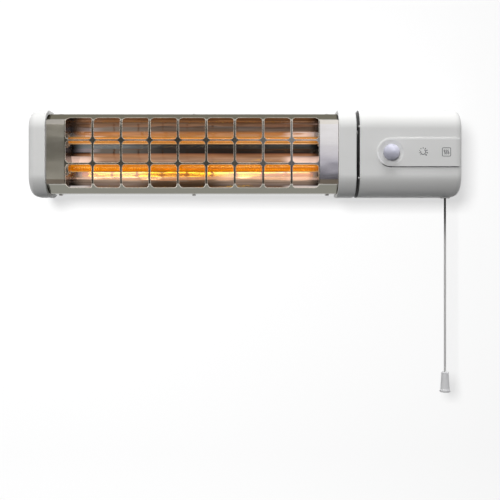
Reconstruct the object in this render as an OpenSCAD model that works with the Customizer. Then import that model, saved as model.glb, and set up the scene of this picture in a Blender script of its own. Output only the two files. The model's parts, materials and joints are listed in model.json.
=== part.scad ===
// Wall-mounted quartz infrared heater: a tilting head with two glowing tubes behind a punched
// steel front, beside a fixed control box with a knob and a pull cord.
// X runs along the heater, Y into the wall and Z up. The wall is the plane y = 0.
// Cuts run 1 mm or more past the faces that they open.

/* [Overall] */
// Width of each end cap of the head
cap_w = 23; // [20:0.5:28]
// Visible length of the steel front between the caps
grille_w = 382.7; // [330:1:430]
// Air gap between the head and the control box
gap_w = 4.2; // [3.5:0.1:6]
// Width of the control box
box_w = 134; // [130:1:160]
// Height of the caps and the control box
body_h = 115; // [112:0.5:122]
// Depth of the caps and the control box, front to back
body_d = 89; // [86:0.5:94]
// Distance from the wall to the tilt axis
axis_out = 60; // [59:0.5:66]
// Distance from the tilt axis to the back of the section
axis_back = 45; // [43:0.5:46]
// Radius of the section's front corners
front_r = 27; // [22:0.5:32]
// Radius of the section's back corners
back_r = 45; // [40:0.5:46]
// Radius of the rounded outer ends
end_r = 9; // [6:0.5:12]
// Wall thickness of the moulded parts
wall = 2.6; // [2:0.1:3]

/* [Steel front] */
// Setback of the steel front behind the caps, front face
steel_back = 4; // [3:0.25:6]
// Setback of the steel's top and bottom inside the caps
steel_drop = 4.2; // [3:0.1:6]
// Thickness of the steel sheet
steel_t = 1; // [0.7:0.1:1.2]
// Half height of the flat front strip
face_half = 36; // [33:0.5:38]
// Half height at the outer edge of the narrow facet
facet_half = 42; // [40:0.5:44]
// Setback of the narrow facet's outer edge
facet_back = 2; // [1:0.25:4]
// Depth of the bevel, from the front face
bevel_back = 25; // [22:0.5:28]
// Depth of the whole folded front
cover_d = 40; // [36:0.5:42]
// Length that the steel reaches inside each cap
steel_in = 6; // [5:0.25:7]
// Columns of openings
cols = 9; // [7:1:11]
// Blank steel strip at each end of the openings
blank_w = 24.3; // [22:0.1:30]
// Width of the upright bars
bar_w = 3; // [2:0.25:5]
// Thickness of the level bars
rail_t = 2; // [1.5:0.25:4]
// Height of the level bars above and below the middle
rail_z = 15.3; // [12:0.1:18]
// Half height of the whole field of openings
field_half = 46; // [44:0.25:48]
// Corner radius of each opening
cell_r = 4.6; // [2:0.1:6]

/* [Reflector and tubes] */
// Thickness of the reflector sheet
mirror_t = 0.6; // [0.5:0.1:1]
// Distance of the reflector's troughs from the back of the section
trough_d = 13.5; // [12:0.25:17]
// Height of the reflector's middle ridge above its troughs
ridge_d = 9.5; // [6:0.5:15]
// Outside diameter of the quartz tubes
tube_od = 10; // [9:0.25:11]
// Wall thickness of the quartz tubes
tube_wall = 1; // [0.8:0.05:1.2]
// Length of the quartz tubes beyond the openings, each end
tube_over = 16; // [14:0.5:18]
// Depth of the tubes behind the steel front
tube_d = 28; // [24:0.5:34]
// Height of each tube above or below the middle
tube_z = 18.6; // [17:0.1:21]
// Diameter of the heating wire as coiled
coil_od = 6.6; // [5.6:0.1:6.8]
// Thickness of the heating wire
coil_wire = 1.1; // [0.9:0.05:1.3]
// Curls of each heating coil
coil_turns = 32; // [20:1:36]

/* [Tilt] */
// Tilt range from facing straight out to facing down
tilt_max = 40; // [25:1:40]
// Diameter of the left pivot pin
pin_d = 10; // [8:0.5:12]
// Outside diameter of the hollow right journal
journal_d = 24; // [22:0.5:25]
// Bore of the hollow right journal, for the leads
journal_bore = 18; // [14:0.5:19]
// Diameter of the hub between head and box
hub_d = 62; // [54:1:64]
// Distance of the stop lugs from the tilt axis
lug_out = 36; // [35:0.5:38]
// Diameter of the stop lugs
lug_d = 4; // [3:0.5:4.5]
// Thickness of the arm that holds the left pivot
arm_t = 2.5; // [2:0.25:3]
// Width of the arm
arm_w = 18; // [14:0.5:20]

/* [Controls] */
// Knob axis, distance from the left edge of the box
knob_x_in = 40.7; // [38:0.5:46]
// Knob diameter
knob_d = 21; // [18:0.5:24]
// Height that the knob stands proud of the box front
knob_out = 12; // [10:0.5:15]
// Radius of the shallow dish round the knob
dish_r = 16; // [14:0.5:17]
// Depth of the dish
dish_deep = 2.4; // [1.5:0.1:2.6]
// Height of the raised bar on the box front
strip_h = 36.8; // [34:0.2:42]
// Height that the bar stands proud
strip_out = 1.2; // [0.8:0.1:1.6]
// Height of the bar's middle line above the tilt axis
strip_z = -1.4; // [-4:0.1:2]
// Diameter of the knob's spindle
spindle_d = 6; // [5:0.5:7]

/* [Pull switch] */
// Cord position, distance from the right end of the box
cord_x_in = 15.5; // [15:0.25:18]
// Cord position, distance in front of the join between the box's two shells
cord_y_in = 12; // [10:0.5:15]
// Diameter of the pull cord
cord_d = 3; // [2.5:0.1:3.4]
// Visible length of the cord from box to pull
cord_l = 234; // [150:1:300]
// Length of the pull on the cord
pull_l = 27; // [22:0.5:34]
// Travel of the cord
pull_travel = 8; // [6:0.5:9]
// Diameter of the switch plunger
plunger_d = 8; // [7:0.25:8.5]
// Free length of the return spring as fitted
spring_l = 18; // [16:0.5:20]
// Curls of the return spring
spring_turns = 5; // [4:1:7]

/* [Wall rail] */
// Distance between the two wall screws
wall_holes = 280; // [240:1:300]
// Diameter of the wall screw holes
wall_hole_d = 5.4; // [4.5:0.1:6]
// Height of the rail
rail_h = 34; // [30:1:36]
// Thickness of the rail's steel
rail_sheet = 2; // [1.5:0.1:2.5]
// Depth of the rail with its folded edges
rail_fold = 5; // [4:0.25:5.5]
// Cable entry, distance from the left edge of the box
entry_x_in = 44; // [42:0.5:48]
// Bore of the cable grommet
entry_d = 9; // [7:0.25:10]

/* [Screws] */
// Thread diameter of the screws through the end caps
cap_screw_d = 3.2; // [2.6:0.1:3.6]
// Thread diameter of the screws that join the steel front and the casing
grille_screw_d = 3.2; // [2.6:0.1:3.6]
// Thread diameter of the screws that join the box's shells
cover_screw_d = 3; // [2.5:0.1:3.4]
// Thread diameter of the screws between box and rail
box_screw_d = 4; // [3.5:0.1:4.5]
// Thread diameter of the screws between arm and rail
arm_screw_d = 4; // [3.5:0.1:4.5]
// Thread diameter of the regulator's screws
reg_screw_d = 2.4; // [2:0.1:2.6]
// Thread diameter of the pull switch's screws
switch_screw_d = 3; // [2.5:0.1:3.4]
// Thread diameter of the cable clamp's screws
clamp_screw_d = 2.4; // [2:0.1:3]

/* [Fits] */
// Running clearance of pins and journals, on the radius
run = 0.05; // [0.02:0.01:0.1]
// Clearance between pieces that only sit together
seat = 0.2; // [0.1:0.05:0.4]

/* [Hidden] */
$fn = 64;

// Lengths along X, from the middle of the whole heater
total_w = 2 * cap_w + grille_w + gap_w + box_w;
x_left = -total_w / 2;
x_steel0 = x_left + cap_w;
x_steel1 = x_steel0 + grille_w;
x_head1 = x_steel1 + cap_w;
x_box0 = x_head1 + gap_w;
x_box1 = total_w / 2;
head_mid = (x_left + x_head1) / 2;

// Depths along Y
y_axis = -axis_out;
y_back = y_axis + axis_back;
y_front = y_back - body_d;
y_steel = y_front + steel_back;
half_h = body_h / 2;
arc_f = [y_front + front_r, half_h - front_r];
arc_b = [y_back - back_r, half_h - back_r];
y_part = arc_b.x;

// Inside of the head
sheet_slack = 0.1;
core_drop = steel_drop + steel_t + sheet_slack;
casing_lap = 10;
plate_t = 1.5;
x_plate0 = x_steel0 - steel_in + seat;
y_bevel = y_steel + bevel_back;
fold_path = [
    [y_steel + cover_d, -(half_h - steel_drop)],
    [y_bevel, -(half_h - steel_drop)],
    [y_steel + facet_back, -facet_half],
    [y_steel, -face_half],
    [y_steel, face_half],
    [y_steel + facet_back, facet_half],
    [y_bevel, half_h - steel_drop],
    [y_steel + cover_d, half_h - steel_drop]
];
y_lap = y_steel + cover_d - casing_lap / 2;
grille_screw_x = [for (i = [-1:1]) head_mid + i * (grille_w - blank_w) / 2];
boss_d = 9;
boss_spots = [[y_front + 16, 30], [y_front + 16, -30], [y_back - 21, 26]];
cap_screw_seat = wall + 0.4;
flange_t = 3;

// Vents of the rear casing: rows across its back and across its top and bottom
vents = 8;
vent_inset = 20;
vent_share = 0.6;
vent_half = 1.8;
vent_rows_z = [-8, 0, 8];
vent_rows_y = [y_axis + 8, y_axis + 17];

// Tubes and what holds them
y_tube = y_steel + tube_d;
x_open0 = x_steel0 + blank_w;
x_open1 = x_steel1 - blank_w;
tube_x0 = x_open0 - tube_over;
tube_len = x_open1 - x_open0 + 2 * tube_over;
holder_l = 14;
holder_od = 16;
blade_w = 6.2;
blade_l = 5;
cutout_y = y_axis + 10;
cutout_z = 27.5 - half_h;

// Reflector: each fold's depth and its distance below the top of the section
trough_over = 5;
y_trough = y_back - trough_d;
mirror_folds = [[y_bevel + 1, 9], [y_trough - 23.5, 11.5], [y_trough - 7.5, 21.5]];
trough_edges = [31.5, 43.5];
lip_z = half_h - steel_drop - steel_t - sheet_slack;
reflector_half = concat(
    [[mirror_folds[0].x, -lip_z]],
    [for (f = mirror_folds) [f.x, -(half_h - f.y)]],
    [for (drop = trough_edges) [y_trough, -(half_h - drop)]],
    [[y_trough - ridge_d, 0]]
);
reflector_path = concat(
    reflector_half,
    [for (i = [len(reflector_half) - 2:-1:0]) [reflector_half[i].x, -reflector_half[i].y]]
);
end_sheet_t = 0.8;
end_sheet_x = x_open0 - trough_over - end_sheet_t - sheet_slack;

// Coils
curl_rings = 8;
coil_x = x_open0 - trough_over;
coil_len = x_open1 - x_open0 + 2 * trough_over;
coil_path = coil_points(coil_len, (coil_od - coil_wire) / 2, coil_turns, curl_rings);

// Left pivot
arm_x = x_left + wall + 5.4;
bush_wall = 2;
bush_flange = 3;
clip_x = x_plate0 + plate_t + 4.2;

// Right pivot
journal_x0 = x_head1 - cap_w - steel_in;
journal_collar = 3;
side_x = x_box0 + wall + 0.6;
side_t = 3;
nut_t = 6;
journal_x1 = side_x + side_t + nut_t + 2;
bush_r_wall = 3;

// Controls
knob_x = x_box0 + knob_x_in;
y_strip = y_front - strip_out;
reg_d = 26;
reg_l = 17;
reg_y = y_front + wall + 3;
reg_screw_z = [strip_z - dish_r + 0.2, strip_z + dish_r - 0.2];

// Pull switch
cord_x = x_box1 - cord_x_in;
cord_y = y_part - cord_y_in;
cord_bush_r = 4.4;
switch_w = 22;
switch_dy = 24;
guide_l = 8;
ledge_z = -half_h + wall + guide_l + 0.9 + pull_travel;
chamber_d = plunger_d + 6;
head_t = 4;
pull_top = -half_h - cord_l;
plunger_z0 = ledge_z - 6;
spring_wire = 1.1;
spring_path = coil_points(spring_l, (plunger_d + chamber_d) / 4, spring_turns, curl_rings);
switch_screw_x = [cord_x - 7, cord_x + 7];
switch_screw_z = ledge_z + spring_l + head_t + 6.5;

// Back of the box
entry_x = x_box0 + entry_x_in;
inner_back = y_back - wall;
skirt_x0 = x_box0 + 9;
skirt_x1 = x_box1 - 10;
skirt_half = 26;

// Wall rail and arm
rail_x0 = arm_x - 6;
rail_x1 = entry_x - 14;
fold_x0 = arm_x + 24;
fold_x1 = x_head1 - 2;
arm_screw_x = arm_x + arm_t + 2.5 * arm_screw_d;
arm_screw_z = [-8, 8];
arm_screw_sunk = 1.4;
box_screw_x = rail_x1 - 10;
box_screw_z = [-9, 9];

// Joins of the box's two shells
lug_groove = 2;
tab_x = [x_box0 + 22, x_box1 - 42];
tab_w = 16;
tab_t = 3;
tab_y = y_part + 8;
tab_z = half_h - wall - 2.6 - tab_t;
cover_screw_seat = half_h - 2;

// Wiring in the box
block_x0 = entry_x + 18;
block_w = 28;
block_deep = 13;
poles = 3;
clamp_x = entry_x + 12;
clamp_half = 10;
clamp_y = inner_back - 8;
lead_d = 2.6;
lead_meet = x_head1 - 10;
lead_rise = 14;

// Radius and height of a screw's head, from the diameter of its thread
function head_r(d) = 0.9 * d;
function head_h(d) = 0.6 * d;

// Draws its flat child across X, from x0 over a width w: the child's x is Y and its y is Z
module along_x(x0, w) {
    translate([x0, 0, 0]) rotate([90, 0, 90]) linear_extrude(w) children();
}

// Draws its flat child across Y, from y0 over a depth d: the child's x is X and its y is Z
module along_y(y0, d) {
    translate([0, y0 + d, 0]) rotate([90, 0, 0]) linear_extrude(d) children();
}

module rod_x(x0, w, r, y = y_axis, z = 0) {
    translate([x0, y, z]) rotate([0, 90, 0]) cylinder(h = w, r = r);
}

module rod_y(y0, d, r, x, z) {
    translate([x, y0, z]) rotate([-90, 0, 0]) cylinder(h = d, r = r);
}

module rod_z(z0, h, r, x, y) {
    translate([x, y, z0]) cylinder(h = h, r = r);
}

module block(low, high) {
    translate(low) cube(high - low);
}

// The common section of caps and box, drawn smaller by an inset
module section2d(inset) {
    overlap = 5;
    for (s = [-1, 1]) translate([arc_f.x, s * arc_f.y]) circle(front_r - inset);
    intersection() {
        for (s = [-1, 1]) translate([arc_b.x, s * arc_b.y]) circle(back_r - inset);
        translate([arc_b.x - overlap, -half_h]) square([back_r + overlap, body_h]);
    }
    translate([arc_f.x, -half_h + inset]) square([arc_b.x - arc_f.x, body_h - 2 * inset]);
    translate([y_front + inset, -arc_f.y]) square([arc_b.x - y_front - inset, 2 * arc_f.y]);
    translate([arc_b.x - overlap, -arc_b.y])
        square([y_back - arc_b.x + overlap - inset, 2 * arc_b.y]);
}

// A side outline: reach wide, w long, with its far corner rounded
module edge_profile(reach, w, r) {
    square([reach, w - r]);
    square([reach - r, w]);
    translate([reach - r, w - r]) circle(r);
}

// A straight stretch of the rounded body, turned about the X direction
module edge_strip(turn, centre, reach, span, w, r) {
    root = 6;
    translate([0, centre.x, centre.y]) rotate([turn, 0, 0]) rotate([0, 0, -90])
        translate([0, 0, -span / 2]) linear_extrude(span) {
            edge_profile(reach, w, r);
            translate([-root, 0]) square([root + 1, w]);
        }
}

// The section drawn out from x = 0 to x = w, with its far edge rounded
module rounded_body(w, inset, r) {
    for (s = [-1, 1]) {
        translate([0, arc_f.x, s * arc_f.y]) rotate([0, 90, 0]) rotate_extrude()
            edge_profile(front_r - inset, w, r);
        intersection() {
            translate([0, arc_b.x, s * arc_b.y]) rotate([0, 90, 0]) rotate_extrude()
                edge_profile(back_r - inset, w, r);
            block([-1, arc_b.x - 1, -half_h - 2], [w + 1, y_back + 2, half_h + 2]);
        }
        edge_strip(s * 90, [(arc_f.x + arc_b.x) / 2, 0], half_h - inset, arc_b.x - arc_f.x, w, r);
    }
    edge_strip(0, [arc_b.x, 0], arc_b.x - y_front - inset, 2 * arc_f.y, w, r);
    edge_strip(180, [arc_b.x, 0], y_back - arc_b.x - inset, 2 * arc_b.y, w, r);
}

function unit(v) = v / norm(v);
function left_of(a, b) = let (d = unit(b - a)) [-d.y, d.x];
function mitre(n1, n2, t) = t * (n1 + n2) / (1 + n1 * n2);

// The path of points moved to its left by t, with mitred corners
function beside(path, t) = [
    for (i = [0:len(path) - 1])
        let (
            last = len(path) - 1,
            n1 = left_of(path[max(i - 1, 0)], path[max(i, 1)]),
            n2 = left_of(path[min(i, last - 1)], path[min(i + 1, last)])
        )
        path[i] + mitre(n1, n2, t)
];
function backwards(path) = [for (i = [len(path) - 1:-1:0]) path[i]];

// A folded sheet: the outline between a path and the same path moved by the thickness
function sheet(path, t) = concat(path, backwards(beside(path, t)));

// The room inside the steel front and the casing, drawn smaller by a gap
module core2d(gap) {
    y_casing = y_steel + cover_d - casing_lap - gap;
    difference() {
        polygon(beside(fold_path, -steel_t - gap));
        translate([y_casing, -half_h]) square([body_d, body_h]);
    }
    intersection() {
        section2d(core_drop + steel_t + gap);
        translate([y_casing - 1, -half_h]) square([body_d, body_h]);
    }
}

// A ring piece about the tilt axis, from angle a0 to a1, measured from +Z towards the front
module arc_slot2d(r, half_w, a0, a1) {
    far = 2 * r;
    function at(a, d) = [-sin(a) * d, cos(a) * d];
    translate([y_axis, 0]) {
        intersection() {
            difference() {
                circle(r + half_w);
                circle(r - half_w);
            }
            polygon([[0, 0], at(a0, far), at((a0 + a1) / 2, far), at(a1, far)]);
        }
        for (a = [a0, a1]) translate(at(a, r)) circle(half_w);
    }
}

module rounded_rect2d(low, high, r) {
    translate(low + [r, 0]) square(high - low - [2 * r, 0]);
    translate(low + [0, r]) square(high - low - [0, 2 * r]);
    for (x = [low.x + r, high.x - r], y = [low.y + r, high.y - r])
        translate([x, y]) circle(r);
}

// A moulded end cap for the left side, open towards +X, its outer end rounded by outer_r
module cap_shell(outer_r) {
    inner_r = max(outer_r - wall, 0.4);
    difference() {
        translate([x_steel0, 0, 0]) mirror([1, 0, 0]) rounded_body(cap_w, 0, outer_r);
        difference() {
            translate([x_steel0 - flange_t, 0, 0]) mirror([1, 0, 0])
                rounded_body(cap_w - wall - flange_t, wall, inner_r);
            for (p = boss_spots) rod_x(x_left, x_plate0 - x_left, boss_d / 2, p.x, p.y);
        }
        along_x(x_steel0 - flange_t - 1, flange_t + 2) {
            polygon(beside(fold_path, seat));
            section2d(core_drop - seat);
        }
        for (p = boss_spots) {
            rod_x(x_left - 1, cap_w, cap_screw_d / 2 + seat, p.x, p.y);
            rod_x(x_left - 1, 1 + cap_screw_seat, head_r(cap_screw_d) + 2 * seat, p.x, p.y);
        }
    }
}

module end_cap_left() {
    color("#f1f1ef") difference() {
        cap_shell(end_r);
        sweep_r = axis_out + 20;
        side = asin((arm_w / 2 + 2) / axis_back);
        along_x(arm_x - 2, arm_t + 4) translate([y_axis, 0])
            polygon([
                [0, 0],
                for (i = [0:3])
                    let (a = side - i * (tilt_max + 2 * side) / 3) sweep_r * [cos(a), sin(a)]
            ]);
    }
}

module end_cap_right() {
    color("#f1f1ef") difference() {
        union() {
            translate([2 * head_mid, 0, 0]) mirror([1, 0, 0]) cap_shell(1);
            for (s = [-1, 1]) rod_x(x_head1 - 1, gap_w + 2.6, lug_d / 2, y_axis, s * lug_out);
        }
        rod_x(x_head1 - cap_w, cap_w + 1, journal_d / 2 + run + bush_r_wall + seat);
    }
}

module front_grille() {
    pitch = (x_open1 - x_open0) / cols;
    color("#c9c6c0") difference() {
        along_x(x_steel0 - steel_in, grille_w + 2 * steel_in) polygon(sheet(fold_path, -steel_t));
        for (i = [0:cols - 1])
            along_y(y_steel - 1, bevel_back + 5) {
                x0 = x_open0 + i * pitch + bar_w / 2;
                x1 = x_open0 + (i + 1) * pitch - bar_w / 2;
                rounded_rect2d([x0, -rail_z + rail_t / 2], [x1, rail_z - rail_t / 2], cell_r);
                rounded_rect2d([x0, rail_z + rail_t / 2], [x1, field_half], cell_r);
                rounded_rect2d([x0, -field_half], [x1, -rail_z - rail_t / 2], cell_r);
            }
        for (x = grille_screw_x) grille_screw_hole(x);
    }
}

module grille_screw_hole(x) {
    rod_z(-half_h, body_h, grille_screw_d / 2 + 2 * run, x, y_lap);
}

module grille_screws() {
    top = half_h - steel_drop;
    shank = 4;
    color("#8f8f8f") for (x = grille_screw_x) both_sides() {
        rod_z(top, head_h(grille_screw_d), head_r(grille_screw_d), x, y_lap);
        rod_z(top - shank, shank + 1, grille_screw_d / 2, x, y_lap);
    }
}

module rear_casing() {
    pitch = (grille_w - 2 * vent_inset) / vents;
    vent_r = vent_half - 0.01;
    edge_y = y_steel + cover_d - casing_lap;
    color("#b9b7b2") difference() {
        along_x(x_steel0 - steel_in, grille_w + 2 * steel_in) difference() {
            section2d(core_drop);
            section2d(core_drop + steel_t);
            translate([y_front - 1, -half_h])
                square([edge_y - y_front + 1, body_h]);
        }
        for (i = [0:vents - 1]) {
            x0 = x_steel0 + vent_inset + (i + (1 - vent_share) / 2) * pitch;
            x1 = x0 + vent_share * pitch;
            along_y(y_axis, body_d) for (z = vent_rows_z)
                rounded_rect2d([x0, z - vent_half], [x1, z + vent_half], vent_r);
            translate([0, 0, -half_h]) linear_extrude(body_h) for (y = vent_rows_y)
                rounded_rect2d([x0, y - vent_half], [x1, y + vent_half], vent_r);
        }
        for (x = grille_screw_x) grille_screw_hole(x);
    }
}

// A head end plate for the left side, with a folded edge towards +X
module end_plate(bore_r) {
    fold = 8;
    color("#a7a9ab") difference() {
        union() {
            along_x(x_plate0, plate_t) core2d(seat);
            along_x(x_plate0, fold) difference() {
                core2d(seat);
                core2d(seat + plate_t);
            }
        }
        rod_x(x_plate0 - 1, plate_t + 2, bore_r);
        for (p = boss_spots) rod_x(x_plate0 - 1, plate_t + 2, cap_screw_d / 2 + run, p.x, p.y);
    }
}

module end_plate_left() {
    end_plate(pin_d / 2 + bush_wall + 2 * run);
}

module end_plate_right() {
    translate([2 * head_mid, 0, 0]) mirror([1, 0, 0])
        end_plate(journal_d / 2 + bush_r_wall + 2 * run);
}

module reflector() {
    color("#d8d6d2") along_x(x_open0 - trough_over, x_open1 - x_open0 + 2 * trough_over)
        polygon(sheet(reflector_path, -mirror_t));
}

// The sheet that closes the reflector at its left end
module reflector_end() {
    color("#c4c2be") difference() {
        along_x(end_sheet_x, end_sheet_t)
            polygon([for (i = [1:len(reflector_path) - 2]) reflector_path[i]]);
        for (s = [-1, 1])
            rod_x(x_open0 - holder_l, holder_l, holder_od / 2 + sheet_slack, y_tube, s * tube_z);
    }
}

module reflector_end_left() {
    reflector_end();
}

module reflector_end_right() {
    translate([2 * head_mid, 0, 0]) mirror([1, 0, 0]) reflector_end();
}

module quartz_tube(z) {
    color("#ffe6c8", 0.4) difference() {
        rod_x(tube_x0, tube_len, tube_od / 2, y_tube, z);
        rod_x(tube_x0 - 1, tube_len + 2, tube_od / 2 - tube_wall, y_tube, z);
    }
}

// Share of the whole turning at a share t of the length, easing in and out over a share e
function eased(t, e) =
    t < e ? t * t / (2 * e * (1 - e))
    : t > 1 - e ? 1 - (1 - t) * (1 - t) / (2 * e * (1 - e))
    : (t - e / 2) / (1 - e);

// Points of a coil along X from 0 to len, with ends that run along X
function coil_points(len, r, turns, per) =
    let (n = round(turns * per), e = 1.5 / turns)
    [for (i = [0:n]) let (a = 360 * turns * eased(i / n, e)) [len * i / n, r * cos(a), r * sin(a)]];

// The smallest gap between stretches of the coil that lie at least half a turn apart
function least_gap(p, per, wire) = min([
    for (i = [0:len(p) - 1], k = [round(per / 2):per + 1])
        if (i + k < len(p)) norm(p[i] - p[i + k]) - wire
]);

// A closed tube through rings of points, each ring with the same count of points
module skin(rings) {
    sides = len(rings[0]);
    last = len(rings) - 1;
    function at(i, k) = i * sides + k % sides;
    polyhedron(
        points = [for (ring = rings) each ring],
        faces = concat(
            [[for (k = [0:sides - 1]) k]],
            [for (i = [0:last - 1], k = [0:sides - 1]) [at(i, k), at(i + 1, k), at(i, k + 1)]],
            [for (i = [0:last - 1], k = [0:sides - 1]) [at(i, k + 1), at(i + 1, k), at(i + 1, k + 1)]],
            [[for (k = [sides - 1:-1:0]) at(last, k)]]
        )
    );
}

// A round wire swept along coil points, whose rings face the coil's own axis
module coil_wire(p, wire, sides = 6) {
    n = len(p);
    function ring(i) =
        let (
            along = i == 0 || i == n - 1 ? [1, 0, 0] : unit(p[i + 1] - p[i - 1]),
            out = unit([0, p[i].y, p[i].z] - along * ([0, p[i].y, p[i].z] * along)),
            up = cross(along, out)
        )
        [for (k = [0:sides - 1])
            let (a = 360 * k / sides) p[i] + wire / 2 * (out * cos(a) + up * sin(a))];
    skin([for (i = [0:n - 1]) ring(i)]);
}

echo(heating_coil_least_gap = least_gap(coil_path, curl_rings, coil_wire));

module heating_coil(z) {
    color("#ff9b2e") translate([coil_x, y_tube, z]) coil_wire(coil_path, coil_wire);
}

// The two ceramic bushes at the left end
module ceramic_holders() {
    x0 = x_open0 - holder_l;
    flange_w = 2.4;
    color("#efe9dc") for (s = [-1, 1]) difference() {
        union() {
            rod_x(x0, holder_l, holder_od / 2, y_tube, s * tube_z);
            rod_x(x_open0 - trough_over, flange_w, holder_od / 2 + 2, y_tube, s * tube_z);
        }
        rod_x(x0 - 1, holder_l + 2, tube_od / 2 + 2 * run, y_tube, s * tube_z);
    }
}

module ceramic_holders_left() {
    ceramic_holders();
}

module ceramic_holders_right() {
    translate([2 * head_mid, 0, 0]) mirror([1, 0, 0]) ceramic_holders();
}

module tube_terminals() {
    inner_r = tube_od / 2 - tube_wall - sheet_slack;
    cap_l = 2;
    plug_l = 6;
    color("#c8a95a") for (m = [0, 1], s = [-1, 1])
        translate([m * 2 * head_mid, 0, 0]) mirror([m, 0, 0]) {
            rod_x(tube_x0 - cap_l, cap_l, tube_od / 2, y_tube, s * tube_z);
            rod_x(tube_x0 - 0.1, plug_l, inner_r, y_tube, s * tube_z);
            block([tube_x0 - cap_l - blade_l, y_tube - blade_w / 2, s * tube_z - 0.4],
                  [tube_x0 - cap_l + 0.1, y_tube + blade_w / 2, s * tube_z + 0.4]);
        }
}

module thermal_cutout() {
    x0 = 2 * head_mid - end_sheet_x;
    can_r = 8;
    color("#5a5550") {
        rod_x(x0, 7, can_r, cutout_y, cutout_z);
        rod_x(x0, 1, can_r + 3, cutout_y, cutout_z);
    }
}

module pivot_bush_left() {
    x0 = arm_x + arm_t + 3.1;
    x1 = x_plate0 + plate_t + 4;
    color("#f3f0e6") difference() {
        union() {
            rod_x(x0, x_plate0 - x0, pin_d / 2 + run + bush_wall + bush_flange);
            rod_x(x0, x1 - x0, pin_d / 2 + run + bush_wall);
        }
        rod_x(x0 - 1, x1 - x0 + 2, pin_d / 2 + run);
    }
}

module pivot_bush_right() {
    plate_x = 2 * head_mid - x_plate0;
    flange = 2.2;
    flange_r = journal_d / 2 + run + bush_r_wall + bush_flange + 1;
    color("#f3f0e6") difference() {
        union() {
            rod_x(plate_x - plate_t - flange, flange, flange_r);
            rod_x(plate_x - plate_t - 1, x_head1 - plate_x + plate_t + 0.7,
                  journal_d / 2 + run + bush_r_wall);
        }
        rod_x(plate_x - plate_t - flange - 1, cap_w + steel_in, journal_d / 2 + run);
    }
}

module cap_screws() {
    color("#8f8f8f") for (m = [0, 1], p = boss_spots)
        translate([m * 2 * head_mid, 0, 0]) mirror([m, 0, 0]) {
            seat_x = x_left + cap_screw_seat;
            rod_x(seat_x - head_h(cap_screw_d), head_h(cap_screw_d), head_r(cap_screw_d), p.x, p.y);
            rod_x(seat_x - 0.1, x_plate0 + plate_t + 1 - seat_x, cap_screw_d / 2, p.x, p.y);
        }
}

// A round lead swept along points, with its rings square to the way
module lead(p, d, sides = 8) {
    n = len(p);
    function ring(i) =
        let (
            along = unit(p[min(i + 1, n - 1)] - p[max(i - 1, 0)]),
            side = unit(cross(along, abs(along.y) > 0.9 ? [0, 0, 1] : [0, 1, 0])),
            up = cross(along, side)
        )
        [for (k = [0:sides - 1])
            let (a = 360 * k / sides) p[i] + d / 2 * (side * cos(a) + up * sin(a))];
    skin([for (i = [0:n - 1]) ring(i)]);
}

module mounting_rail() {
    color("#b8babc") difference() {
        union() {
            block([rail_x0, -rail_sheet, -rail_h / 2], [rail_x1, 0, rail_h / 2]);
            for (z0 = [-rail_h / 2, rail_h / 2 - rail_sheet])
                block([fold_x0, -rail_fold, z0], [fold_x1, -rail_sheet / 2, z0 + rail_sheet]);
        }
        for (s = [-1, 1]) rail_hole(wall_hole_d / 2, s * wall_holes / 2, 0);
        for (z = box_screw_z) rail_hole(box_screw_d / 2 + run, box_screw_x, z);
        for (z = arm_screw_z) rail_hole(arm_screw_d / 2 + run, arm_screw_x, z);
    }
}

module rail_hole(r, x, z) {
    rod_y(-rail_sheet - 1, rail_sheet + 2, r, x, z);
}

module pivot_arm() {
    foot_half = arm_w * 2 / 3;
    foot_y = -rail_sheet - arm_t;
    color("#b8babc") difference() {
        union() {
            along_x(arm_x, arm_t) translate([y_axis, 0]) {
                circle(1.2 * pin_d);
                translate([0, -arm_w / 2]) square([axis_out - rail_sheet, arm_w]);
            }
            block([arm_x, foot_y, -foot_half],
                  [arm_screw_x + 2 * arm_screw_d, -rail_sheet, foot_half]);
        }
        rod_x(arm_x - 1, arm_t + 2, pin_d / 2 - 1 + run);
        for (z = arm_screw_z) {
            rod_y(foot_y - 1, arm_t + 2, arm_screw_d / 2 + seat, arm_screw_x, z);
            rod_y(foot_y - 1, 1 + arm_screw_sunk, head_r(arm_screw_d) + seat, arm_screw_x, z);
        }
    }
}

// A screw along Y: its head's seat is at y0 and its shank runs towards the wall
module screw_y(y0, shank, d, x, z, high = 0) {
    h = high > 0 ? high : head_h(d);
    rod_y(y0 - h, h, head_r(d), x, z);
    rod_y(y0 - 0.1, shank + 0.1, d / 2, x, z);
}

module arm_screws() {
    seat_y = arm_screw_sunk - rail_sheet - arm_t;
    color("#8f8f8f") for (z = arm_screw_z)
        screw_y(seat_y, -seat - seat_y, arm_screw_d, arm_screw_x, z, arm_screw_sunk - 0.1);
}

// The pin is riveted in the arm, with a shoulder against it and a groove for the clip
module pivot_pin() {
    color("#9a9c9e") difference() {
        union() {
            rod_x(arm_x - 0.9, arm_t + 1, pin_d / 2 - 1);
            rod_x(arm_x - 0.9, 0.9, pin_d / 2 + 1);
            rod_x(arm_x + arm_t, 3, pin_d / 2 + 3);
            rod_x(arm_x + arm_t, clip_x + 3.4 - arm_x - arm_t, pin_d / 2);
        }
        difference() {
            rod_x(clip_x, 1.2, pin_d / 2 + 1);
            rod_x(clip_x - 1, 3.2, pin_d / 2 - 1);
        }
    }
}

module retaining_clip() {
    gap = pin_d / 2 - 2;
    color("#6f6f70") difference() {
        rod_x(clip_x + 0.1, 1, pin_d / 2 + 3.5);
        rod_x(clip_x - 1, 3, pin_d / 2 - 0.9);
        block([clip_x - 1, y_axis - gap, 0], [clip_x + 3, y_axis + gap, pin_d + 4]);
    }
}

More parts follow.
